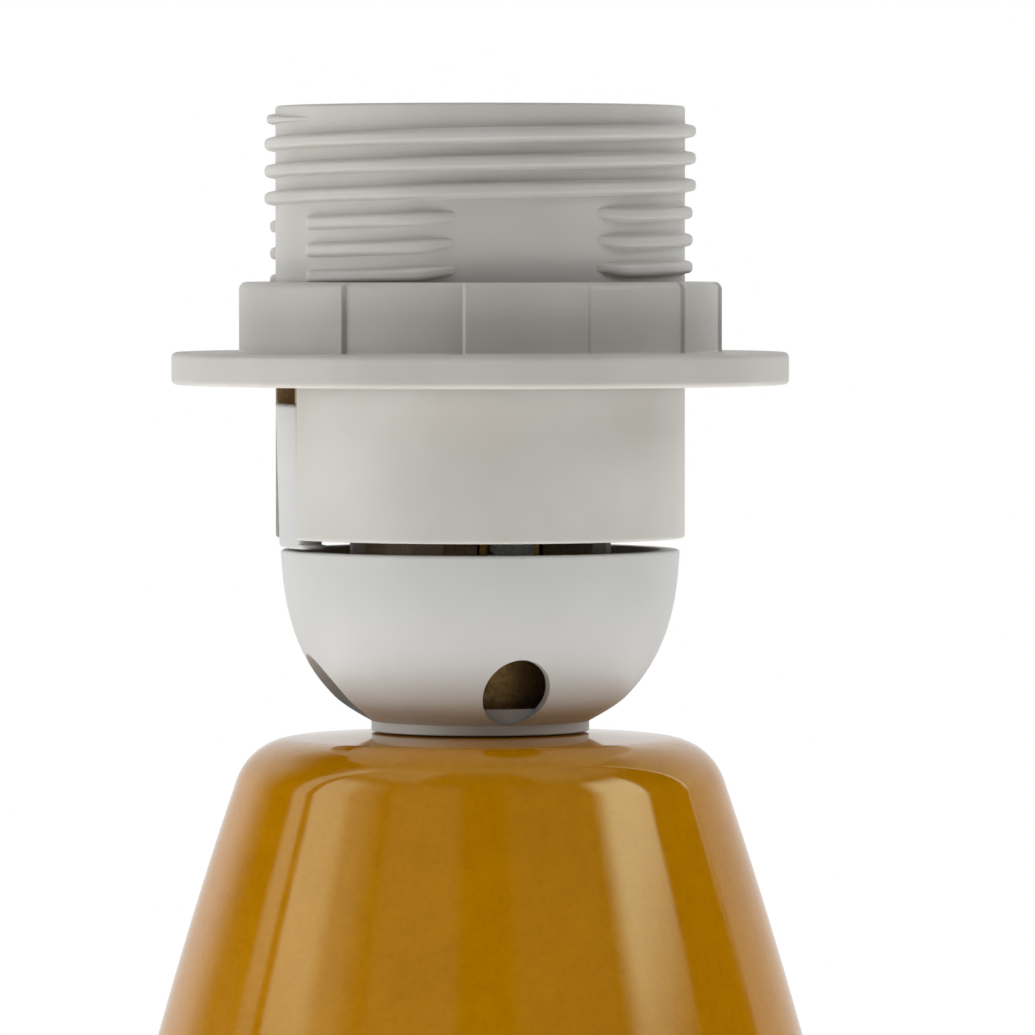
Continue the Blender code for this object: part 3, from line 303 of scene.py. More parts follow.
def makeGlaze():
    # amber glaze fired on white stoneware: glossy, its colour pools a little deeper in patches of about 18 mm,
    # with a mottle of 2 mm and a fine grain of half a millimetre in it, on a surface that waves very slightly;
    # a thin film of iron oxide makes its reflections a little yellow
    material, tree, shader, place = newMaterial("firedAmberGlaze", Roughness=0.07, IOR=1.5, Metallic=0.0,
                                                Specular_Tint=hexToLinear("#F9FFCB"))
    pools = noise(tree, place, 18, 2.0, 0.5)
    mottle = noise(tree, place, 2.0, 4.0, 0.6)
    specks = noise(tree, place, 0.5, 2.0, 0.5)
    base = tones(tree, pools, [(0.30, "#C48402"), (0.50, "#BF8001"), (0.72, "#BA7B01")])
    base = multiplied(tree, base, tones(tree, mottle, [(0.35, "#F3EEE6"), (0.6, "#FFFFFF")]), 0.5)
    base = multiplied(tree, base, tones(tree, specks, [(0.26, "#E4D8C8"), (0.5, "#FFFFFF")]), 0.3)
    wave = bump(tree, noise(tree, place, 22, 1.0, 0.4, (1, 1, 2.5)), 0.03)
    wire(tree, shader, Base_Color=base, Roughness=spread(tree, mottle, 0.05, 0.10),
         Normal=bump(tree, noise(tree, place, 0.9, 2.0, 0.5), 0.0012, under=wave))
    return material


def makeWhitePlastic(name, light, dark):
    # glass-filled thermoplastic, injection moulded: satin, warm white, with a faint cloudiness of the melt and the
    # fine grain of a spark-eroded mould, 0.25 mm here because the real 0.05 mm wouldn't show
    material, tree, shader, place = newMaterial(name, Roughness=0.42, IOR=1.49, Metallic=0.0)
    cloud = noise(tree, place, 9, 2.0, 0.5)
    grain = noise(tree, place, 0.25, 2.0, 0.6)
    wire(tree, shader, Base_Color=tones(tree, cloud, [(0.35, dark), (0.65, light)]),
         Roughness=spread(tree, grain, 0.36, 0.5), Normal=bump(tree, grain, 0.004))
    return material


def makeMetal(name, light, dark, roughness, streakMm, stretch, depth):
    # a worked metal: tool or rolling streaks along one direction, and a slow tarnish that dulls patches
    material, tree, shader, place = newMaterial(name, Roughness=roughness, Metallic=1.0)
    tarnish = noise(tree, place, 4, 3.0, 0.55)
    streaks = noise(tree, place, streakMm, 2.0, 0.5, stretch)
    wire(tree, shader, Base_Color=tones(tree, tarnish, [(0.3, light), (0.75, dark)]),
         Roughness=spread(tree, streaks, roughness * 0.7, roughness * 1.4), Normal=bump(tree, streaks, depth))
    return material


def makeGrained(name, grain, stops, depthMm, sheen=None, **shaderValues):
    # a material whose one noise gives its tones, its relief and, where a sheen is given, its spread of roughness
    material, tree, shader, place = newMaterial(name, Metallic=0.0, **shaderValues)
    factor = noise(tree, place, *grain)
    wire(tree, shader, Base_Color=tones(tree, factor, stops), Normal=bump(tree, factor, depthMm))
    if sheen:
        wire(tree, shader, Roughness=spread(tree, factor, *sheen))
    return material


glaze = makeGlaze()
# the shade ring gets a greyer copy of the barrel's plastic, whose extra grey is painted shade on its flange and
# collar, and the cap with its latch is a cooler white
whitePlastic = makeWhitePlastic("mouldedThermoplastic", "#CFCDC8", "#CAC7C1")
shadedRingPlastic = makeWhitePlastic("mouldedRingThermoplastic", "#CAC8C2", "#C5C2BC")
capPlastic = makeWhitePlastic("mouldedCapThermoplastic", "#CDCDCC", "#C9C9C7")
# brown phenolic resin, compression moulded: dull sheen with flecks of the wood-flour filler
phenolic = makeGrained("mouldedPhenolic", (0.4, 3.0, 0.7), [(0.35, "#8F7048"), (0.55, "#A08058"), (0.7, "#AE8E66")],
                       0.01, (0.38, 0.55), Roughness=0.45, IOR=1.6)
# black nylon, injection moulded: soft sheen and a fine mould grain
nylon = makeGrained("mouldedNylon", (0.3, 2.0, 0.6), [(0.3, "#17181A"), (0.7, "#24262A")], 0.006, (0.38, 0.55),
                    Roughness=0.45, IOR=1.53)
# zinc is a cool bright grey, and a dull straw yellow where it is passivated; turned brass has fine rings round its
# axis, and rolled bronze is redder, with streaks along the strip
zincSteel = makeMetal("zincPlatedSteel", "#C9CCCF", "#A9ABA6", 0.32, 0.25, (1, 1, 4), 0.004)
yellowZinc = makeMetal("yellowPassivatedZinc", "#BFA070", "#A68656", 0.6, 0.5, (1, 1, 1), 0.002)
brass = makeMetal("turnedBrass", "#D8B66C", "#B5893F", 0.28, 0.2, (1, 1, 5), 0.004)
bronze = makeMetal("rolledSpringBronze", "#D3A26B", "#AE7B48", 0.26, 0.18, (1, 6, 1), 0.003)
# red vulcanised fibre, punched from sheet: dull, with the paper's fibres lying in its plane
fibre = makeGrained("punchedFibre", (0.35, 3.0, 0.6, (3, 1, 1)), [(0.3, "#6E2A20"), (0.7, "#8E4032")], 0.02,
                    (0.65, 0.85), Roughness=0.75, IOR=1.5)
# pressed wool felt: matt charcoal with a soft fuzz, fibres about 0.5 mm long as drawn
felt = makeGrained("pressedWoolFelt", (0.5, 4.0, 0.75), [(0.3, "#1E1D1C"), (0.55, "#2E2C2A"), (0.75, "#45413D")],
                   0.12, Roughness=0.95, IOR=1.45, Sheen_Weight=0.4, Sheen_Roughness=0.5)
print("materials made")


# the glazed body
body = {
    "height": 147.7, "shoulderRadius": 21.45, "shoulderDrop": 0.8, "shoulderRound": 5.9, "baseRadius": 46.38,
    "baseRound": 9.0, "sideBow": 6.2, "wall": 5.0, "roof": 6.0, "floor": 6.0, "insideRound": 5.0,
    "footWidth": 5.5, "footRecess": 1.5, "bottomHole": 28.0, "topHole": 5.25, "seatRadius": 10.18,
    "steps": 224, "sideSteps": 64, "innerSteps": 24, "waviness": 0.045, "waveFrom": (20.0, 24.0),
    "waveAbove": (6.0, 14.0), "waves": ((2, 31, 0.7), (3, -23, 2.1), (5, 17, 4.0)),
    "feltMargin": 0.4, "feltThick": 2.0,
}
inlet = {"height": 22.0, "bore": 3.7, "shank": 5.0, "flange": 7.5, "flangeThickness": 1.5, "seatDepth": 2.1,
         "gap": 0.3, "nutFlats": 14.0, "nutThickness": 3.0, "tail": 1.0, "lead": 0.6, "flare": 0.8,
         "flareDepth": 1.5, "cut": (30, 52)}


def sideRadius(height):
    # outer radius of the side at a height above the body's bottom: an arc through the base corner and the
    # shoulder corner that bows out of their chord by sideBow
    base = np.array([body["baseRadius"], 0.0])
    shoulder = np.array([body["shoulderRadius"], body["height"] - body["shoulderDrop"]])
    chord = shoulder - base
    length = np.linalg.norm(chord)
    arcRadius = length ** 2 / (8 * body["sideBow"]) + body["sideBow"] / 2
    outwards = np.array([chord[1], -chord[0]]) / length
    centre = (base + shoulder) / 2 + outwards * (body["sideBow"] - arcRadius)
    return centre[0] + np.sqrt(arcRadius ** 2 - (np.asarray(height, float) - centre[1]) ** 2)


def sidePoints(low, high, count, wall=0.0):
    # (r, z) of the side, less the wall, at equal steps between two heights and without those two
    heights = np.linspace(low, high, count + 1)[1:-1]
    return [(float(sideRadius(h)) - wall, levels["bodyBottom"] + float(h)) for h in heights]


def makeBody():
    # one closed outline of outside and inside, turned round the axis, then waved; next to a rounded corner the
    # points of the side are left out, to give its arc room
    bottom, top = levels["bodyBottom"], levels["bodyBottom"] + body["height"]
    footOuter = body["baseRadius"] - body["baseRound"]
    footInner = footOuter - body["footWidth"]
    roof, shoulder = body["height"] - body["roof"], body["height"] - body["shoulderDrop"]
    wall = body["wall"]
    profile = outline([
        (body["topHole"], top, 0.25), (body["seatRadius"], top, 0.6),
        (body["shoulderRadius"], bottom + shoulder, body["shoulderRound"]),
        *sidePoints(0, shoulder, body["sideSteps"])[::-1][3:-4],
        (body["baseRadius"], bottom, body["baseRound"]),
        (footInner, bottom, 0.8), (footInner, bottom + body["footRecess"], 0.6),
        (body["bottomHole"], bottom + body["footRecess"], 0.8), (body["bottomHole"], bottom + body["floor"], 0.8),
        (float(sideRadius(body["floor"])) - wall, bottom + body["floor"], body["insideRound"]),
        *sidePoints(body["floor"], roof, body["innerSteps"], wall)[1:-1],
        (float(sideRadius(roof)) - wall, bottom + roof, body["insideRound"]),
        (body["topHole"], bottom + roof, 0.25),
    ], arcSteps=10)
    angles = circle(body["steps"])
    radii, heights = profile[:, 0], profile[:, 1]
    # slow waves of the cast wall, always inwards: a mean of sines of angle and height, none at the top and the foot
    wave = sum(np.sin(turns * angles + heights / length + start) for turns, length, start in body["waves"])
    side = ease(radii, *body["waveFrom"]) * ease(heights, *body["waveAbove"])
    radii = radii - body["waviness"] * (1 + wave / len(body["waves"])) * side
    mesh = gridMesh("glazedBody", aroundAxis(radii, heights, angles))
    seat = float(sideRadius(inlet["height"])) - inlet["seatDepth"]
    pocket, hole = inlet["flange"] + inlet["gap"], inlet["shank"] + inlet["gap"]
    inEnd, outEnd = inlet["cut"]
    cutter = turned("inletHole", [
        (nearAxis, outEnd, 0), (pocket + inlet["flare"], outEnd, 0), (pocket, seat + inlet["flareDepth"], 0.9),
        (pocket, seat, 0.15), (hole, seat, 0.1), (hole, inEnd, 0), (nearAxis, inEnd, 0),
    ], steps=64)
    faceOutwards(cutter, 180, levels["bodyBottom"] + inlet["height"])
    mesh = carve(mesh, [cutter])
    newPiece("glazedBody", mesh, "lamp_body", ["ceramic_body"], glaze)


def makeFoot():
    # a flat ring under the foot, narrower than it by the margin on both sides
    outer = body["baseRadius"] - body["baseRound"] - body["feltMargin"]
    inner = body["baseRadius"] - body["baseRound"] - body["footWidth"] + body["feltMargin"]
    top = body["feltThick"]
    mesh = turned("feltRing", [(outer, top, 0.4), (outer, 0.0, 0.5), (inner, 0.0, 0.5), (inner, top, 0.4)], steps=180)
    newPiece("feltRing", mesh, "lamp_body", ["foot_felt"], felt)


def nutMesh(name, flats, bore, low, high):
    # hexagon whose radius at an angle is half the flats over the cosine to the nearest flat's middle, cut at both
    # ends by a 30 degree cone that starts at the face; the bore is a plain wall with a small lead
    chamfer, lead, uncut, faceShare, faceInset = 0.6, 0.4, 99, 1.02, 0.3
    angles = circle(144)
    within = (angles + math.pi / 6) % (math.pi / 3) - math.pi / 6
    hexRadius = flats / 2 / np.cos(within)
    face = flats / 2 * faceShare - faceInset
    cone = face + chamfer * 0.5 / math.tan(math.radians(30))
    heights = np.array([high, high, high - chamfer * 0.5, high - chamfer, (high + low) / 2, low + chamfer,
                        low + chamfer * 0.5, low, low, low + lead, high - lead])
    outer = np.array([0, face, cone, uncut, uncut, uncut, cone, face, 0, 0, 0])
    inner = np.array([bore + lead, 0, 0, 0, 0, 0, 0, 0, bore + lead, bore, bore])
    radii = np.where(inner > 0, inner, np.minimum(hexRadius, outer))
    return gridMesh(name, aroundAxis(radii, heights, angles), sharpAngle=25)


def threadedTube(name, crest, bore, low, high, pitch, depth):
    # outer radius falls from the crest by the depth in a triangle wave of height minus the turn's share of the pitch
    rowsPerPitch, lead = 5, 0.3
    heights = np.linspace(low, high, int((high - low) / (pitch / rowsPerPitch)))
    angles = circle(72)
    phase = (heights / pitch - angles / (2 * math.pi)) % 1
    fade = ease(heights, low, low + pitch) * ease(-heights, -high, -high + pitch)
    outer = crest - depth * (1 - np.abs(2 * phase - 1) * fade)
    inner = np.array([bore + lead, bore, bore, bore + lead]) + 0 * angles
    allHeights = np.concatenate([heights, [high, high - lead, low + lead, low]])
    return gridMesh(name, aroundAxis(np.concatenate([outer, inner], 1), allHeights, angles), sharpAngle=50)


def makeInlet():
    # a flanged bush in its pocket and a nut inside; the nut's corners stay clear of the curved wall
    seat = float(sideRadius(inlet["height"])) - inlet["seatDepth"]
    inner, outer = seat + inlet["gap"], seat + inlet["gap"] + inlet["flangeThickness"]
    corner = inlet["nutFlats"] / math.sqrt(3)
    wall = float(sideRadius(inlet["height"] + corner)) - body["wall"]
    nutFace = math.sqrt(wall ** 2 - corner ** 2) - inlet["gap"]
    tail = nutFace - inlet["nutThickness"] - inlet["tail"]
    axis = levels["bodyBottom"] + inlet["height"]
    shell = turned("cordInlet", [
        (inlet["flange"], outer, inlet["lead"]), (inlet["flange"], inner, 0.15), (inlet["shank"], inner, 0.1),
        (inlet["shank"], tail, 0.3), (inlet["bore"], tail, 0.3), (inlet["bore"], outer, 0.9),
    ], steps=96, arcSteps=8)
    newPiece("cordInlet", faceOutwards(shell, 180, axis), "lamp_body", ["cable_inlet"], nylon)
    nut = nutMesh("cordInletNut", inlet["nutFlats"], inlet["shank"] + inlet["gap"],
                  nutFace - inlet["nutThickness"], nutFace)
    newPiece("cordInletNut", faceOutwards(nut, 180, axis), "lamp_body", ["inlet_nut"], nylon)


clamp = {"tube": 4.95, "bore": 4.0, "rise": 7.2, "tail": 3.0, "gap": 0.3, "fibreRadius": 9.5, "fibreThick": 1.0,
         "steelRadius": 8.8, "steelThick": 1.0, "flats": 14.0, "nutThick": 3.5, "pitch": 1.0, "depth": 0.45}


def makeClamp():
    # downwards from the body's roof: fibre washer, steel washer and nut, a gap between each two, round the tube
    roof = levels["seat"] - body["roof"]
    hole = clamp["tube"] + clamp["gap"]
    fibreTop = roof - clamp["gap"]
    fibreLow = fibreTop - clamp["fibreThick"]
    steelTop = fibreLow - clamp["gap"]
    steelLow = steelTop - clamp["steelThick"]
    nutTop = steelLow - clamp["gap"]
    nutLow = nutTop - clamp["nutThick"]
    washer = turned("fibreRing", [(clamp["fibreRadius"], fibreTop, 0.15), (clamp["fibreRadius"], fibreLow, 0.15),
                                  (hole, fibreLow, 0.1), (hole, fibreTop, 0.1)], steps=96)
    newPiece("fibreRing", washer, "lamp_body", ["fibre_washer"], fibre)
    washer = turned("flatWasher", [(clamp["steelRadius"], steelTop, 0.25), (clamp["steelRadius"], steelLow, 0.1),
                                   (hole, steelLow, 0.1), (hole, steelTop, 0.25)], steps=96)
    newPiece("flatWasher", washer, "lamp_body", ["steel_washer"], zincSteel)
    newPiece("clampNut", nutMesh("clampNut", clamp["flats"], hole, nutLow, nutTop), "lamp_body", ["tube_nut"],
             zincSteel)
    tube = threadedTube("allThreadTube", clamp["tube"], clamp["bore"], nutLow - clamp["tail"],
                        levels["seat"] + clamp["rise"], clamp["pitch"], clamp["depth"])
    newPiece("allThreadTube", tube, "lamp_body", ["threaded_tube"], zincSteel)


makeBody()
makeFoot()
makeInlet()
makeClamp()
print("body, foot, inlet and clamp made")


# the lampholder's cap
cap = {"neck": 10.1, "sag": 0.15, "tuck": 0.68, "tuckDepths": (13.6, 16.4), "rimRadius": 18.5, "halfHeight": 18.86,
       "power": 2.7, "draft": 0.06, "wall": 1.3, "outSteps": 42, "inSteps": 26, "floorTop": 152.3, "floorStep": 0.4,
       "lip": 1.2, "pocket": 8.3, "hole": 5.25, "ledgeRadius": 15.4, "ledgeMargin": 0.6, "mouth": 16.6,
       "holeRadius": 3.1, "holeHeight": 154.3, "holeEnds": (10.1, 25), "holeAngles": (0, -90)}


def domeRadius(depth):
    # squared ellipse with draft: (rim - draft d) times the root of 1 - (d / halfHeight)^power; its foot is tucked in
    # to meet the neck
    bowl = (cap["rimRadius"] - cap["draft"] * depth) * np.sqrt(1 - (depth / cap["halfHeight"]) ** cap["power"])
    return bowl - cap["tuck"] * ease(depth, *cap["tuckDepths"])


def makeCap():
    # bowl, neck, floor with its pocket, inner wall and ledge in one turned outline, with the two access holes cut in
    deepest = levels["rim"] - levels["neckTop"]
    depths = deepest * np.sin(np.linspace(0, math.pi / 2, cap["outSteps"]))[1:-1]
    outside = [(float(domeRadius(d)), levels["rim"] - float(d)) for d in depths]
    inDepths = np.linspace(levels["rim"] - cap["floorTop"], levels["rim"] - levels["ledge"] + cap["ledgeMargin"],
                           cap["inSteps"])
    inside = [(float(domeRadius(d + cap["floorStep"])) - cap["wall"], levels["rim"] - float(d)) for d in inDepths]
    inside = [p for p in inside if p[0] < cap["ledgeRadius"]]
    bottom = levels["capBottom"] - cap["sag"]
    mesh = turned("domedCap", [
        (cap["rimRadius"], levels["rim"], 0.25), *outside,
        (float(domeRadius(deepest)), levels["neckTop"], 0.1), (cap["neck"], levels["neckTop"], 0.12),
        (cap["neck"], bottom, 0.12), (cap["hole"], bottom, 0.1),
        (cap["hole"], bottom + cap["lip"], 0.1), (cap["pocket"], bottom + cap["lip"], 0.1),
        (cap["pocket"], cap["floorTop"], 0.1), *inside[1:],
        (cap["ledgeRadius"], levels["ledge"], 0.1), (cap["mouth"], levels["ledge"], 0.1),
        (cap["mouth"], levels["rim"], 0.2),
    ], steps=192)
    holes = [drill(f"accessHole{abs(angle)}", cap["holeRadius"], cap["holeEnds"], 72, angle, cap["holeHeight"])
             for angle in cap["holeAngles"]]
    newPiece("domedCap", carve(mesh, holes, 30), "lamp_body", ["holder_cap"], capPlastic)


# the lampholder's barrel with its outer thread
barrel = {"radius": 18.96, "bore": 16.6, "skirtBore": 17.3, "bead": 16.7, "beadHeight": 2.0,
          "slotWidth": 9.1, "slotHeight": 15.4, "slotCut": (-21, -15.5), "slotBelow": 2, "edge": 0.3}
outerThread = {"crest": 19.98, "pitch": 2.5, "half": 0.7, "nose": 0.46, "endAngle": -66.0, "endDrop": 0.8,
               "fullTurns": 3.16, "brokenTurns": 6.2, "flatHalves": (20.0, 19.5), "fade": 10.5, "blunt": 6.0,
               "topFade": 62.0, "overrun": 6.0, "shortest": 12.0, "stepAngle": 2.0, "threadThin": 0.3,
               "brokenThin": 0.6, "sunk": 0.35, "backShare": 0.7, "overlap": 0.02, "endDip": 0.05}


def ridgeSection():
    # the rib from root to root: a bar whose two crest corners are rounded into one nose, with a fillet at its foot
    half, nose, rise = outerThread["half"], outerThread["nose"], outerThread["crest"] - barrel["radius"]
    shape = outline([(0, -half - 0.2), (0, -half, 0.2), (rise, -nose, nose * 0.96), (rise, nose, nose * 0.96),
                     (0, half, 0.2), (0, half + 0.2)], arcSteps=8)
    return shape[:, 1], shape[:, 0] / rise


def ridge(low, high, lowFade, highFade):
    # the section carried along a helix, its height eased to nothing over the fade angles at its two ends
    count = max(10, int((high - low) / outerThread["stepAngle"]))
    ends = np.linspace(0, 1, 9)
    angles = np.unique(np.concatenate([np.linspace(low, high, count), low + lowFade * ends, high - highFade * ends]))
    angles = angles[(angles >= low) & (angles <= high)][:, None]
    lowShare, highShare = ease(angles - low, 0, lowFade), ease(high - angles, 0, highFade)
    share = np.minimum(np.sqrt(lowShare), np.sqrt(highShare))
    z, h = ridgeSection()
    rise, overlap = outerThread["crest"] - barrel["radius"], outerThread["overlap"]
    radii = barrel["radius"] - overlap + (rise + overlap) * h * share - outerThread["endDip"] * (1 - share)
    # towards its slower end a rib narrows as well: the thread's end to its lower edge, a broken rib to its upper one
    isThread = highFade == outerThread["topFade"]
    thin = outerThread["threadThin" if isThread else "brokenThin"]
    width = thin + (1 - thin) * (highShare if highFade > lowFade else lowShare)
    lean = outerThread["half"] * (1 - width) * (-1 if isThread else 1)
    centre = lean + (levels["barrelTop"] - outerThread["endDrop"]
                     + outerThread["pitch"] * (angles - outerThread["endAngle"]) / 360)
    # the rib's back lies inside the wall
    back = outerThread["half"] * outerThread["backShare"] * width
    radii = np.concatenate([radii, np.full((len(angles), 2), barrel["radius"] - outerThread["sunk"])], 1)
    heights = np.concatenate([centre + z * width, centre + back, centre - back], 1)
    return gridMesh("rib", aroundAxis(radii, heights, np.radians(angles)), wrapRows=False, sharpAngle=50)


def makeBarrel():
    # a turned tube with the latch slot cut in; one unbroken rib above, and below it the same helix in pieces, which
    # leave a flat at each quarter turn
    bottom, top = levels["skirtBottom"], levels["barrelTop"]
    beadTop = bottom + barrel["beadHeight"]
    mesh = turned("threadedBarrel", [
        (barrel["radius"], top, barrel["edge"]), (barrel["radius"], levels["flangeBottom"]),
        (barrel["radius"], bottom, barrel["edge"]), (barrel["bead"], bottom, 0.3), (barrel["bead"], beadTop, 0.2),
        (barrel["skirtBore"], beadTop, 0.1), (barrel["skirtBore"], levels["shoulder"], 0.15),
        (barrel["bore"], levels["shoulder"], 0.15), (barrel["bore"], top, 0.25),
    ], steps=192)
    half = barrel["slotWidth"] / 2
    outEnd, inEnd = barrel["slotCut"]
    slot = blockMesh("latchSlot", (outEnd, -half, bottom - barrel["slotBelow"]),
                     (inEnd, half, bottom + barrel["slotHeight"]))
    mesh = carve(mesh, [slot], 30)
    fullStart = outerThread["endAngle"] - 360 * outerThread["fullTurns"]
    start = fullStart - 360 * outerThread["brokenTurns"]
    ribs = [ridge(fullStart, outerThread["endAngle"], outerThread["fade"], outerThread["topFade"])]
    quarter = math.floor(start / 90)
    while quarter * 90 < fullStart:
        low = max(start, quarter * 90 + outerThread["flatHalves"][quarter % 2])
        high = min(fullStart + outerThread["overrun"],
                   (quarter + 1) * 90 - outerThread["flatHalves"][(quarter + 1) % 2])
        # ribs end bluntly at the flats of the two sides and fade out at those of the front and the rear
        fades = (outerThread["fade"], outerThread["blunt"])[::1 if quarter % 2 == 0 else -1]
        if high - low > outerThread["shortest"]:
            ribs.append(ridge(low, high, *fades))
        quarter += 1
    newPiece("threadedBarrel", joined("threadedBarrel", [mesh, *ribs]), "lamp_body", ["holder_barrel"],
             whitePlastic)


# the latch tongue in the barrel's slot
latch = {"height": 13.2, "topRadius": 18.96, "footRadius": 18.6, "thickness": 2.2, "gap": 0.3, "edge": 0.35,
         "footRows": (0, 0.12, 0.3, 0.38, 0.4, 1.2), "footExtras": (0.75, 0.75, 0.75, 0.6, 0, 0), "footInset": 0.12,
         "leafRows": (3.0, 12.3, 8), "earHeight": 1.5, "earFrom": 2.5, "earReach": 2.2, "earOuter": 17.0,
         "earInner": 16.1, "earRise": 2.3}


def bentPoints(r, y, z):
    # on the holder's left side, at radius r and y across it: x is minus the root of r squared less y squared
    r, y, z = np.broadcast_arrays(r, y, z)
    return np.stack([-np.sqrt(r ** 2 - y ** 2), y, z], -1)


def makeLatch():
    # a slab bent round the axis: at each height a section with rounded corners, wider at the foot, and drawn in by a
    # quarter circle at the top; behind it an ear at each side
    low, edge = levels["rim"] + latch["gap"], latch["edge"]
    topTurn = np.linspace(0, math.pi / 2, 7)
    rise = np.concatenate([latch["footRows"], np.linspace(*latch["leafRows"]),
                           latch["height"] - edge + edge * np.sin(topTurn)])[:, None]
    inset, extra = np.zeros_like(rise), np.zeros_like(rise)
    inset[0] = latch["footInset"]
    inset[-len(topTurn):, 0] = edge * (1 - np.cos(topTurn))
    extra[:len(latch["footExtras"]), 0] = latch["footExtras"]
    half = barrel["slotWidth"] / 2 - latch["gap"] + extra - inset
    outer = latch["footRadius"] + (latch["topRadius"] - latch["footRadius"]) * rise / latch["height"] - inset
    inner = outer - latch["thickness"] + 2 * inset
    # outer face, the side with its two rounded corners, inner face, the other side
    across = np.linspace(-1, 1, 15)
    corner = np.linspace(0, math.pi / 2, 5)[1:]
    sideY = np.concatenate([half - edge + edge * np.sin(corner), half - edge * (1 - np.cos(corner))], 1)
    sideR = np.concatenate([outer - edge + edge * np.cos(corner), inner + edge - edge * np.sin(corner)], 1)
    y = np.concatenate([across * (half - edge), sideY, -across * (half - edge), -sideY[:, ::-1]], 1)
    r = np.concatenate([outer + 0 * across, sideR, inner + 0 * across, sideR[:, ::-1]], 1)
    meshes = [gridMesh("latchTongue", bentPoints(r, y, low + rise), wrapRows=False, sharpAngle=50)]
    earLow = levels["skirtBottom"] + latch["earRise"]
    earHigh = earLow + latch["earHeight"]
    section = outline([(latch["earOuter"], earHigh, 0.2), (latch["earOuter"], earLow, 0.2),
                       (latch["earInner"], earLow, 0.2), (latch["earInner"], earHigh, 0.2)], 3, 0.05)
    for side in (-1, 1):
        y = side * np.linspace(latch["earFrom"], barrel["slotWidth"] / 2 + latch["earReach"], 10)[:, None]
        meshes.append(gridMesh("ear", bentPoints(section[:, 0], y, section[:, 1]), wrapRows=False, sharpAngle=40))
    newPiece("latchTongue", joined("latchTongue", meshes), "latch", ["cap_latch"], capPlastic)


# the shade ring on the outer thread
ring = {"bore": 20.3, "collar": 22.4, "collarRound": 0.7, "flange": 28.6, "flangeRound": 0.5, "foot": 0.18,
        "panels": 12, "phase": 12.3, "stepWidth": 0.85, "beside": np.array([0.15, 0.5]), "plain": (2.2, 1.6),
        "startDepths": np.array([0, 0, 0, 0, 0.42, 0]), "endDepths": np.array([0.35, 0.35, 0.35, 0, 0.5, 0.15])}


def panelDepth(angles):
    # a ratchet of panels: within one, the depth goes evenly from its start depth to its end depth, and a short step
    # leads over from the end of the panel before; the list of depths repeats after half a turn
    pitch, count = 360 / ring["panels"], len(ring["endDepths"])
    t = (angles - ring["phase"]) % pitch
    panel = np.floor((angles - ring["phase"]) / pitch).astype(int) % count
    along = ring["startDepths"][panel] + (ring["endDepths"][panel] - ring["startDepths"][panel]) * t / pitch
    before = ring["endDepths"][(panel - 1) % count]
    return before + (along - before) * ease(t, 0, ring["stepWidth"])


def makeRing():
    # the outline of collar and flange turned round the axis, with columns close together at each step of the ratchet,
    # which is taken off the collar's outer wall
    pitch = 360 / ring["panels"]
    steps = np.concatenate([-ring["beside"][::-1], ring["stepWidth"] * np.linspace(0, 1, 12),
                            ring["stepWidth"] + ring["beside"],
                            np.linspace(ring["plain"][0], pitch - ring["plain"][1], 12)])
    angles = (ring["phase"] + pitch * np.arange(ring["panels"])[:, None] + steps).reshape(-1, 1)
    low, middle, top = levels["flangeBottom"], levels["flangeTop"], levels["collarTop"]
    collar = outline([(ring["collar"], top, ring["collarRound"]), (ring["collar"], middle, ring["foot"]),
                      (ring["flange"], middle, ring["flangeRound"]), (ring["flange"], low, ring["flangeRound"]),
                      (ring["bore"], low, 0.25), (ring["bore"], top, 0.2)], arcSteps=8, support=0.1)
    r, z = collar[:, 0], collar[:, 1]
    cut = (z > middle - 0.001) & (r > ring["bore"] + 0.6) & (r < ring["collar"] + 0.5)
    mesh = gridMesh("shadeRing", aroundAxis(r - cut * panelDepth(angles), z, np.radians(angles)), sharpAngle=48)
    # the ring's plastic is the greyer copy, whose grey is painted shade
    newPiece("shadeRing", mesh, "ring", ["shade_ring"], shadedRingPlastic)


# what is inside the lampholder
sleeve = {"radius": 15.2, "flange": 16.3, "flangeThick": 1.4, "drop": 0.24, "bore": 13.3, "footBore": 13.6,
          "footHeight": 10.5, "mouth": 14.2, "mouthDepth": 1.6, "pitch": 3.63, "crest": 12.25, "threadSteps": 84,
          "threadStart": 0.4, "fadeIn": (0.6, 3), "fadeOut": 1.5,
          "guideRadius": 18.8, "guideRoot": 0.6, "guideGap": 0.06, "guideAcross": (0.15, 0.75, 5)}
bush = {"radius": 8.0, "height": 5.7, "lip": 1.2, "gap": 0.3, "holeRadius": 1.8, "holeEnds": (3, 12)}
rivet = {"head": 1.8, "dome": 0.55, "headHeight": 0.8, "shank": 1.0,
         "places": {"centreRivet": ("centre_rivet", -8.0), "sideRivet": ("side_rivet", 9.2)}}


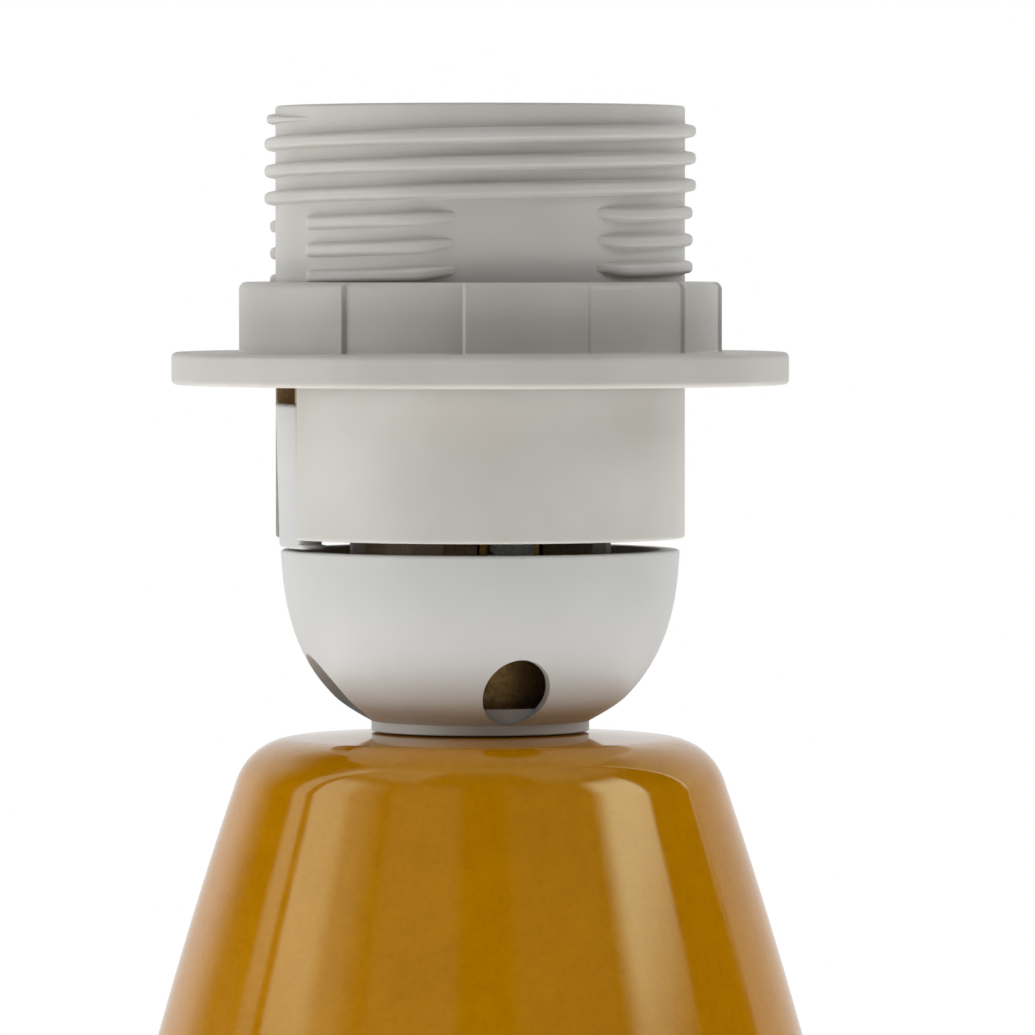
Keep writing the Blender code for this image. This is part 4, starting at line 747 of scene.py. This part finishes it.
def makeSleeve():
    # turned outside; inside, the bore narrows to the crest in a cosine wave of height minus the turn's share
    top = levels["barrelTop"] - sleeve["drop"]
    flangeLow = top - sleeve["flangeThick"]
    footTop = levels["shoulder"] + sleeve["footHeight"]
    threadTop = top - sleeve["mouthDepth"]
    outside = outline([(sleeve["mouth"], top, 0.3), (sleeve["flange"], top, 0.25), (sleeve["flange"], flangeLow, 0.15),
                       (sleeve["radius"], flangeLow, 0.1), (sleeve["radius"], levels["shoulder"], 0.3),
                       (sleeve["footBore"], levels["shoulder"], 0.3), (sleeve["footBore"], footTop, 0.15),
                       (sleeve["bore"], footTop, 0.15)], arcSteps=5)
    heights = np.linspace(footTop + sleeve["threadStart"], threadTop, sleeve["threadSteps"])
    angles = circle(144)
    phase = (heights / sleeve["pitch"] - angles / (2 * math.pi)) % 1
    fade = ease(heights - footTop, *sleeve["fadeIn"]) * ease(threadTop - heights, 0, sleeve["fadeOut"])
    inside = sleeve["bore"] - (sleeve["bore"] - sleeve["crest"]) * (0.5 + 0.5 * np.cos(2 * math.pi * phase)) * fade
    radii = np.concatenate([outside[:, 0] + 0 * angles, inside], 1)
    meshes = [gridMesh("lampSleeve", aroundAxis(radii, np.concatenate([outside[:, 1], heights]), angles))]
    # two guides on its side lie along the walls of the latch's slot, above the latch
    low = levels["rim"] + latch["gap"] + latch["height"] + sleeve["guideGap"]
    high = levels["skirtBottom"] + barrel["slotHeight"] - latch["gap"]
    root = sleeve["radius"] - sleeve["guideRoot"]
    section = outline([(sleeve["guideRadius"], high, 0.2), (sleeve["guideRadius"], low, 0.2), (root, low, 0.1),
                       (root, high, 0.1)], 4, 0.05)
    near, far, count = sleeve["guideAcross"]
    for side in (-1, 1):
        y = side * (barrel["slotWidth"] / 2 - np.linspace(near, far, count)[:, None])
        meshes.append(gridMesh("guide", bentPoints(section[:, 0], y, section[:, 1]), wrapRows=False))
    newPiece("lampSleeve", joined("lampSleeve", meshes), "lamp_body", ["lamp_sleeve"], phenolic)


def makeBush():
    # a turned bush on the cap's floor, with the grub screw's hole cut in from the left
    low = levels["capBottom"] + bush["lip"] + bush["gap"]
    high, bore = low + bush["height"], clamp["tube"] + bush["gap"]
    mesh = turned("threadedBush", [(bush["radius"], high, 0.3), (bush["radius"], low, 0.2), (bore, low, 0.2),
                                   (bore, high, 0.3)], steps=96)
    hole = drill("grubHole", bush["holeRadius"], bush["holeEnds"], 36, -90, cap["holeHeight"])
    newPiece("threadedBush", carve(mesh, [hole], 30), "lamp_body", ["cap_bush"], yellowZinc)


def makeRivets():
    # a domed head on a plain shank, as high as its node, at its place along y
    for name, (node, y) in rivet["places"].items():
        bottom, top = reach(node)
        under = top - rivet["headHeight"]
        mesh = turned(name, [(nearAxis, top, 0), (rivet["head"], top, rivet["dome"]), (rivet["head"], under, 0.1),
                             (rivet["shank"], under, 0.1), (rivet["shank"], bottom, 0.1), (nearAxis, bottom, 0)],
                      steps=48)
        mesh.transform(Matrix.Translation((0, y * mm, 0)))
        newPiece(name, mesh, "lamp_body", [node], brass)


makeCap()
makeBarrel()
makeLatch()
makeRing()
makeSleeve()
makeBush()
makeRivets()
print("lampholder made")

# the frame's own nodes that stay, with their finishes
kept = {"grub_screw": zincSteel, "contact_base": phenolic, "terminal_live": brass, "terminal_neutral": brass,
        "terminal_screw_live": zincSteel, "terminal_screw_neutral": zincSteel, "centre_contact": bronze,
        "side_contact": bronze}
for name, material in kept.items():
    nodes[name].data.materials.clear()
    nodes[name].data.materials.append(material)
print("kept nodes finished")


# the studio
studio = {
    "azimuth": -13.5, "eyeHeight": 194.5, "distance": 785.0, "fieldWidth": 95.92, "aimDrop": 24.62, "aimRight": 3.45,
    "floorColour": "#F4F4F2", "floorRadius": 1250.0, "floorTop": -0.2, "floorLow": -2.0,
    "overhead": 0.6, "overheadRadius": 900, "overheadPlace": (-0.3, -0.2, 1.6), "overheadTurn": (-0.12, 0.19, 0),
    "under": 1.16, "underRadius": 420.0, "underPlace": (0, 0, 0.0002),
}
# the room's light by direction: bearing from the camera's side, clockwise seen from above, from and to with the
# softness of each edge, then the same for the height above the horizon, then the brightness; all in degrees
panels = {
    "leftSecond": (-102, 2, -93.4, 0.8, 16, 6, 60, 6, 1.9),
    "leftMain": (-89, 1.2, -69, 5, 16, 6, 45, 6, 1.9),
    "leftTail": (-89, 1.2, -55, 9, 16, 6, 45, 6, 1.2),
    "leftHigh": (-110, 8, -40, 8, 52, 7, 80, 6, 0.9),
    "leftLow": (-112, 8, -42, 8, -30, 3, 10, 6, 1.9),
    "frontLeft": (-46, 4, -10, 4, 16, 6, 50, 6, 0.38),
    "frontRight": (14, 4, 56, 5, 16, 6, 50, 6, 0.22),
    "frontLow": (-46, 8, 44, 8, -30, 3, 12, 5, 0.08),
    "rightMain": (62, 6, 89.8, 1.2, 21, 5, 45, 6, 5.2),
    "rightHigh": (40, 8, 110, 8, 52, 7, 80, 6, 0.65),
    "rightLow": (42, 8, 108, 6, -30, 3, 10, 6, 0.12),
    "rightLine": (117.8, 0.6, 119.6, 0.6, 16, 6, 60, 6, 3.4),
    "behindLeft": (-150, 12, -126, 13, -40, 3, 16, 5, 1.05),
    "behindRight": (120.5, 1.5, 150, 12, -40, 3, 16, 5, 0.78),
    "farLeft": (-220, 2, -150, 12, -40, 3, 16, 5, 0.85),
    "farRight": (150, 12, 220, 2, -40, 3, 16, 5, 0.85),
    "behindLeftHigh": (-220, 2, -126, 13, 16, 5, 38, 9, 1.0),
    "behindRightHigh": (120.5, 1.5, 220, 2, 16, 5, 52, 9, 1.0),
    "ceiling": (-220, 2, 220, 2, 74, 10, 100, 5, 0.32),
}


def makeCamera():
    # the eye stands at its distance and height in the camera's direction, and looks a little below and to the right
    turn = math.radians(studio["azimuth"])
    towards = Vector((math.sin(turn), -math.cos(turn), 0))
    right = Vector((math.cos(turn), math.sin(turn), 0))
    camera = bpy.data.cameras.new("studioCamera")
    camera.sensor_width = 36
    camera.lens = 36 * studio["distance"] / studio["fieldWidth"]
    camera.clip_start, camera.clip_end = 0.01, 50
    holder = placed("studioCamera", camera)
    eye = towards * studio["distance"] * mm + Vector((0, 0, studio["eyeHeight"] * mm))
    aim = right * studio["aimRight"] * mm + Vector((0, 0, (studio["eyeHeight"] - studio["aimDrop"]) * mm))
    holder.location = eye
    holder.rotation_euler = (aim - eye).to_track_quat("-Z", "Y").to_euler()
    bpy.context.scene.camera = holder


def makeFloor():
    # a round plate just below the felt, of matt paper white
    top, low, edge = studio["floorTop"], studio["floorLow"], studio["floorRadius"]
    mesh = turned("floor", [(edge, top, 0), (edge, low, 0), (nearAxis, low, 0), (nearAxis, top, 0)], 128, arcSteps=1)
    floor = placed("floor", mesh)
    material = newMaterial("whitePaperSweep", Base_Color=hexToLinear(studio["floorColour"]), Roughness=0.9,
                           Specular_IOR_Level=0.1)[0]
    mesh.materials.append(material)


def makeWorld():
    # the room by direction: white behind the lamp, light panels at both sides; a camera ray sees plain white
    world = bpy.data.worlds.new("studioRoom")
    bpy.context.scene.world = world
    world.use_nodes = True
    tree = world.node_tree
    tree.nodes.clear()
    turn = math.radians(studio["azimuth"])
    direction = addNode(tree, "ShaderNodeTexCoord").outputs["Generated"]

    def calculate(operation, first, second=0.0):
        # one math node; each operand is a number or another node's output
        node = addNode(tree, "ShaderNodeMath", operation=operation)
        for socket, operand in zip(node.inputs, (first, second)):
            if isinstance(operand, (int, float)):
                socket.default_value = operand
            else:
                tree.links.new(operand, socket)
        return node.outputs[0]

    def along(vector):
        # the share of the view direction along a vector
        return addNode(tree, "ShaderNodeVectorMath", {1: vector}, {0: direction},
                       operation="DOT_PRODUCT").outputs["Value"]

    def step(value, middle, softness, low=0.0, high=1.0):
        # eases from low to high as the value, in degrees, passes the middle
        return addNode(tree, "ShaderNodeMapRange",
                       {"From Min": middle - softness, "From Max": middle + softness, "To Min": low,
                        "To Max": high}, {"Value": value}, interpolation_type="SMOOTHSTEP").outputs[0]

    across = along((math.cos(turn), math.sin(turn), 0))
    ahead = along((math.sin(turn), -math.cos(turn), 0))
    bearing = calculate("MULTIPLY", calculate("ARCTAN2", across, ahead), 180 / math.pi)
    height = calculate("MULTIPLY", calculate("ARCSINE", along((0, 0, 1))), 180 / math.pi)
    total = None
    for left, leftSoft, right, rightSoft, low, lowSoft, high, highSoft, strength in panels.values():
        wide = calculate("MULTIPLY", step(bearing, left, leftSoft), step(bearing, right, rightSoft, strength, 0.0))
        tall = calculate("MULTIPLY", step(height, low, lowSoft), step(height, high, highSoft, 1.0, 0.0))
        panel = calculate("MULTIPLY", wide, tall)
        total = calculate("ADD", total, panel) if total else panel
    room = addNode(tree, "ShaderNodeBackground", {"Color": (1, 1, 1, 1)}, {"Strength": total})
    white = addNode(tree, "ShaderNodeBackground", {"Color": (1, 1, 1, 1), "Strength": 1.0})
    isCamera = addNode(tree, "ShaderNodeLightPath").outputs["Is Camera Ray"]
    mix = addNode(tree, "ShaderNodeMixShader", links={0: isCamera, 1: room.outputs[0], 2: white.outputs[0]})
    addNode(tree, "ShaderNodeOutputWorld", links={"Surface": mix.outputs[0]})


def makeLamps():
    # a soft box overhead that gives the shadow, and a light table round the foot, which the camera doesn't see
    def disc(name, radius, power, place, turn):
        light = bpy.data.lights.new(name, "AREA")
        light.shape = "DISK"
        light.size = 2 * radius * mm
        light.energy = power
        holder = placed(name, light)
        holder.location = place
        holder.rotation_euler = turn
        return holder

    disc("overheadSoftBox", studio["overheadRadius"], studio["overhead"], studio["overheadPlace"],
         studio["overheadTurn"])
    # radiance of a disc lamp is its power over pi squared times the radius squared
    power = studio["under"] * math.pi ** 2 * (studio["underRadius"] * mm) ** 2
    table = disc("lightTable", studio["underRadius"], power, studio["underPlace"], (math.pi, 0, 0))
    table.visible_camera = False


makeCamera()
makeFloor()
makeWorld()
makeLamps()
bpy.context.scene.view_settings.view_transform = "Standard"
print("studio made")
